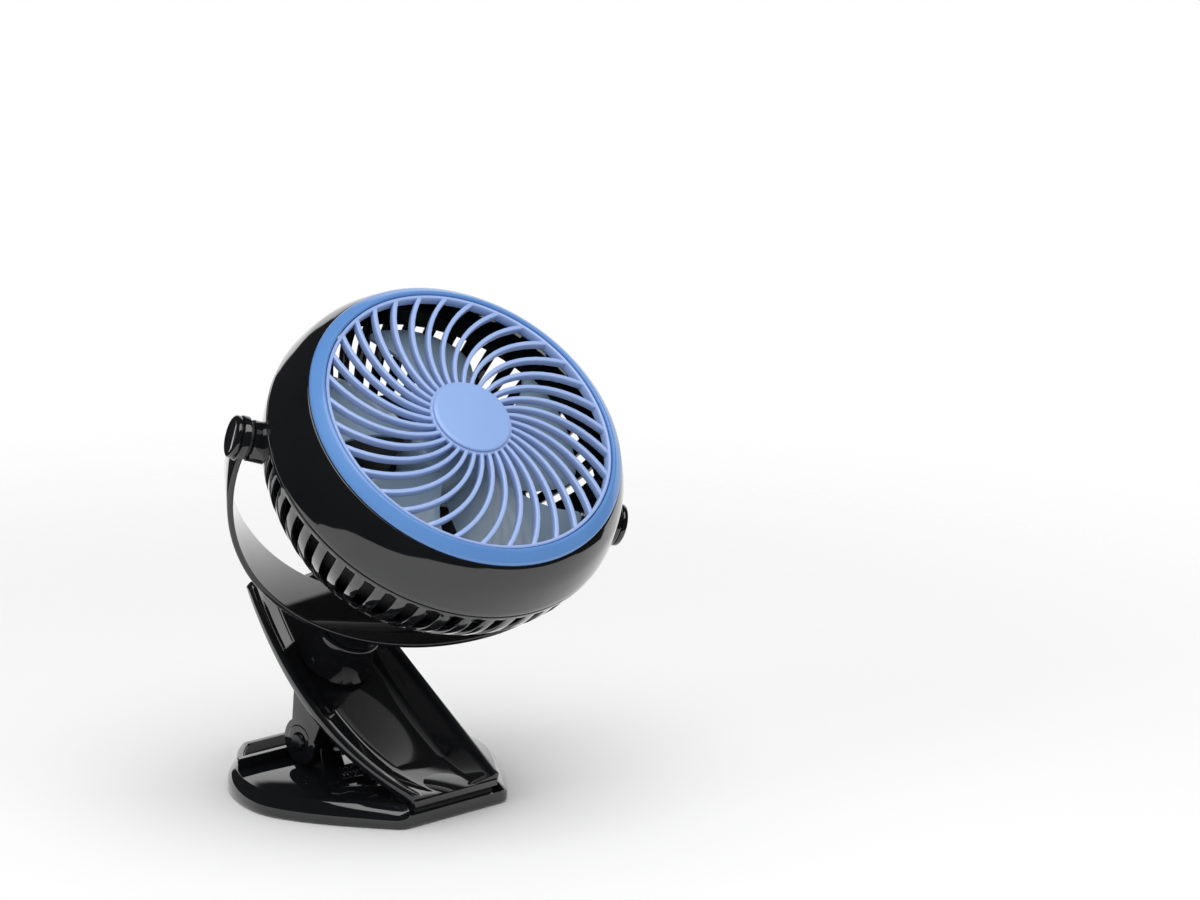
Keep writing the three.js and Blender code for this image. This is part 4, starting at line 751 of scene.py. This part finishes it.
def foot_stack(name, levels):
    """Foot outlines stacked by height, inset and front inset."""
    return swept(name, [[(x, y, height) for x, y in foot_outline(inset, front)]
                        for height, inset, front in levels])


flank = curved([(3.4, 0, 0), (4.5, 0.32, 0.02), (5.7, 0.9, 0.1), (6.6, 1.55, 0.28), (7.3, 2.18, 0.5),
                (7.75, 2.7, 0.85), (8, 3.2, 1.2)], 2)
foot = foot_stack("foot_shell_fine", [(0.3, 0.5, 0.5), (0.45, 0.18, 0.18), (0.8, 0, 0), (2, 0, 0)] + flank)
carved(foot, foot_stack("foot_tray", [(-1, 2.4, 2.4), (3.2, 2.4, 2.4)]))
carved(foot, across("jaw_seat", [(-51, 4.6), (-34, 4.6), (-25, 8.2), (-25, 13), (-51, 13)],
                    -21.4, 21.4))
rounded(foot, 0.3, 2, 38)

foot_parts = []
for side in (-1, 1):
    ends = sorted((side * 9.1, side * 18.6))
    post = [(HINGE_Y + POST_RADIUS * math.cos(a), HINGE_Z + POST_RADIUS * math.sin(a))
            for a in (math.pi * i / 28 for i in range(29))]
    flare = [(HINGE_Y - POST_RADIUS - 3 * (1 - k) ** 2, 7.4 + 9 * k)
             for k in (0.75, 0.5, 0.3, 0.15, 0.05, 0)]
    flare += [(HINGE_Y + POST_RADIUS + 3 * (1 - k) ** 2, 7.4 + 9 * k)
              for k in (0, 0.05, 0.15, 0.3, 0.5, 0.75)]
    post = across("hinge_post", post + flare, *ends)
    bore = spun("post_bore", [(0, 8), (2.3, 8), (2.3, 20), (0, 20)], 48)
    done(bore, lift(0, HINGE_Y, HINGE_Z) @ turn(90 * side, "Y"))
    foot_parts.append(rounded(carved(post, bore), 0.45, 3, 38))
rest = foot_stack("finger_rest", [(6.8, 3.2, 3.2), (11, 3.2, 3.2), (11.5, 3.35, 3.35), (11.85, 3.7, 3.7),
                                  (12, 4.2, 4.2)])
trimmed(rest, (25, -1), (40, 1))
pocket = trimmed(foot_stack("pad_pocket", [(11.1, 5.8, 5.8), (15, 5.8, 5.8)]), (27.6, -1), (37.4, 1))
foot_parts.append(rounded(carved(rest, pocket), 0.5, 3, 50))
joined(foot, *foot_parts)
smooth(foot, 38)
shown(foot, "foot", "black_gloss", black, "foot_shell")

# ---------------------------------------------------------------- small pieces that keep their shape

small = {
    "foot": {"hinge_pin": ("steel", blued), "pin_clip": ("steel", steel),
             "lower_jaw_pad": ("rubber_dark", rubber), "finger_pad": ("rubber_dark", rubber),
             "foot_pad": ("rubber_dark", rubber),
             "foot_plate": ("black_matt", matt), "foot_screw_1": ("steel", steel),
             "foot_screw_2": ("steel", steel), "foot_screw_3": ("steel", steel)},
    "arm": {"upper_jaw_pad": ("rubber_dark", rubber)},
    "yoke": {"swivel_screw": ("steel", steel), "swivel_washer": ("nylon", nylon)},
    "head": {"rear_panel": ("black_matt", matt), "led_lens": ("led_clear", clear), "usb_socket": ("steel", steel),
             "motor_can": ("steel", steel), "motor_plate": ("black_matt", matt),
             "pivot_washer_right": ("nylon", nylon), "pivot_washer_left": ("nylon", nylon)},
    "button": {"power_button": ("black_matt", matt)},
}
for body, pieces in small.items():
    for node, (slot, material) in pieces.items():
        refined(node, body, slot, material)
spring = refined("clip_spring", None, "steel", steel, edge=0, angle=80)
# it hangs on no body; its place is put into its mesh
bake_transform(spring)

for node, material in {
        "motor_end_cap": nylon, "battery_cell": wrap, "circuit_board": board, "touch_switch": matt,
        "pivot_screw_right": steel, "pivot_screw_left": steel, "plate_screw_1": steel,
        "plate_screw_2": steel, "plate_screw_3": steel, "motor_shaft": steel}.items():
    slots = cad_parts[node].data.materials
    slots.clear()
    slots.append(material)

# ---------------------------------------------------------------- stage and light

FLOOR_HALF = 0.62
EYE_FADE = 0.20, 0.60  # where the floor melts into the white room, from its middle
GLOSS_EDGE = 0.34, 0.35  # where the table ends in reflections
floor = start("floor", bpy.ops.mesh.primitive_plane_add, size=2 * FLOOR_HALF, location=(0, 0, -0.0003))
bpy.ops.object.mode_set(mode="OBJECT")
bpy.ops.object.transform_apply(location=True, rotation=True, scale=True)
ground = Finish("pale_floor", (0.97, 0.97, 0.97), 0.9)
spread = ground.node("ShaderNodeVectorMath", {"operation": "LENGTH"}, ground.place(), output="Value")
fade = ground.node("ShaderNodeMapRange", {"interpolation_type": "SMOOTHSTEP"}, spread,
                   From_Min=EYE_FADE[0], From_Max=EYE_FADE[1], To_Min=1.0, To_Max=0.0)
table = ground.node("ShaderNodeMapRange", None, spread,
                    From_Min=GLOSS_EDGE[0], From_Max=GLOSS_EDGE[1], To_Min=1.0, To_Max=0.0)
gloss = ground.node("ShaderNodeLightPath", output="Is Glossy Ray")
ground.set("Alpha", table * gloss + fade * (1 - gloss))
floor.data.materials.append(ground.material)

world = bpy.data.worlds.new("studio")
bpy.context.scene.world = world
world.use_nodes = True
sky = world.node_tree


def sky_node(kind, settings=None, **sockets):
    made = sky.nodes.new(kind)
    for key, value in (settings or {}).items():
        setattr(made, key, value)
    for key, value in sockets.items():
        target = made.inputs[int(key[1:])]
        if hasattr(value, "links"):
            sky.links.new(value, target)
        else:
            target.default_value = value
    return made


# Eye and glass see a white room; gloss sees a white card to the right and behind, and black cloth
# elsewhere; the room lights the object with AMBIENT.
AMBIENT, CLOTH = 0.62, 0.02
CARD = Vector((0.83, 0.52, -0.02)).normalized()
CARD_EDGE = math.radians(42), math.radians(39)
rays = sky.nodes.new("ShaderNodeLightPath")
where = sky.nodes.new("ShaderNodeTexCoord")
facing = sky_node("ShaderNodeVectorMath", {"operation": "DOT_PRODUCT"}, _0=where.outputs["Generated"],
                  _1=tuple(CARD))
card = sky_node("ShaderNodeMapRange", {"interpolation_type": "SMOOTHSTEP"}, _0=facing.outputs["Value"],
                _1=math.cos(CARD_EDGE[0]), _2=math.cos(CARD_EDGE[1]), _3=CLOTH, _4=1.0)
plain = sky_node("ShaderNodeMath", {"operation": "MAXIMUM"}, _0=rays.outputs["Is Camera Ray"],
                 _1=rays.outputs["Is Transmission Ray"])
room = sky_node("ShaderNodeMapRange", None, _0=plain.outputs[0], _3=AMBIENT, _4=1.0)
mix = sky_node("ShaderNodeMix", {"data_type": "FLOAT"}, _0=rays.outputs["Is Glossy Ray"],
               _2=room.outputs[0], _3=card.outputs[0])
backdrop = sky.nodes["Background"]
backdrop.inputs["Color"].default_value = (1, 1, 1, 1)
sky.links.new(mix.outputs[0], backdrop.inputs["Strength"])


def softbox(name, place, width, height, power, aim=(0, -0.02, 0.09)):
    lamp = bpy.data.lights.new(name, "AREA")
    lamp.shape = "RECTANGLE"
    lamp.size, lamp.size_y = width, height
    lamp.energy = power
    holder = bpy.data.objects.new(name, lamp)
    bpy.context.scene.collection.objects.link(holder)
    holder.location = place
    holder.rotation_euler = (Vector(place) - Vector(aim)).to_track_quat("Z", "Y").to_euler()
    return holder


softbox("top_box", (-0.16, -0.42, 1.15), 1.1, 0.75, 7.5)
fill = softbox("left_box", (-1.2, 0.1, 0.6), 0.5, 0.9, 2.5)
fill.visible_glossy = False

bpy.context.scene.view_settings.view_transform = "Standard"
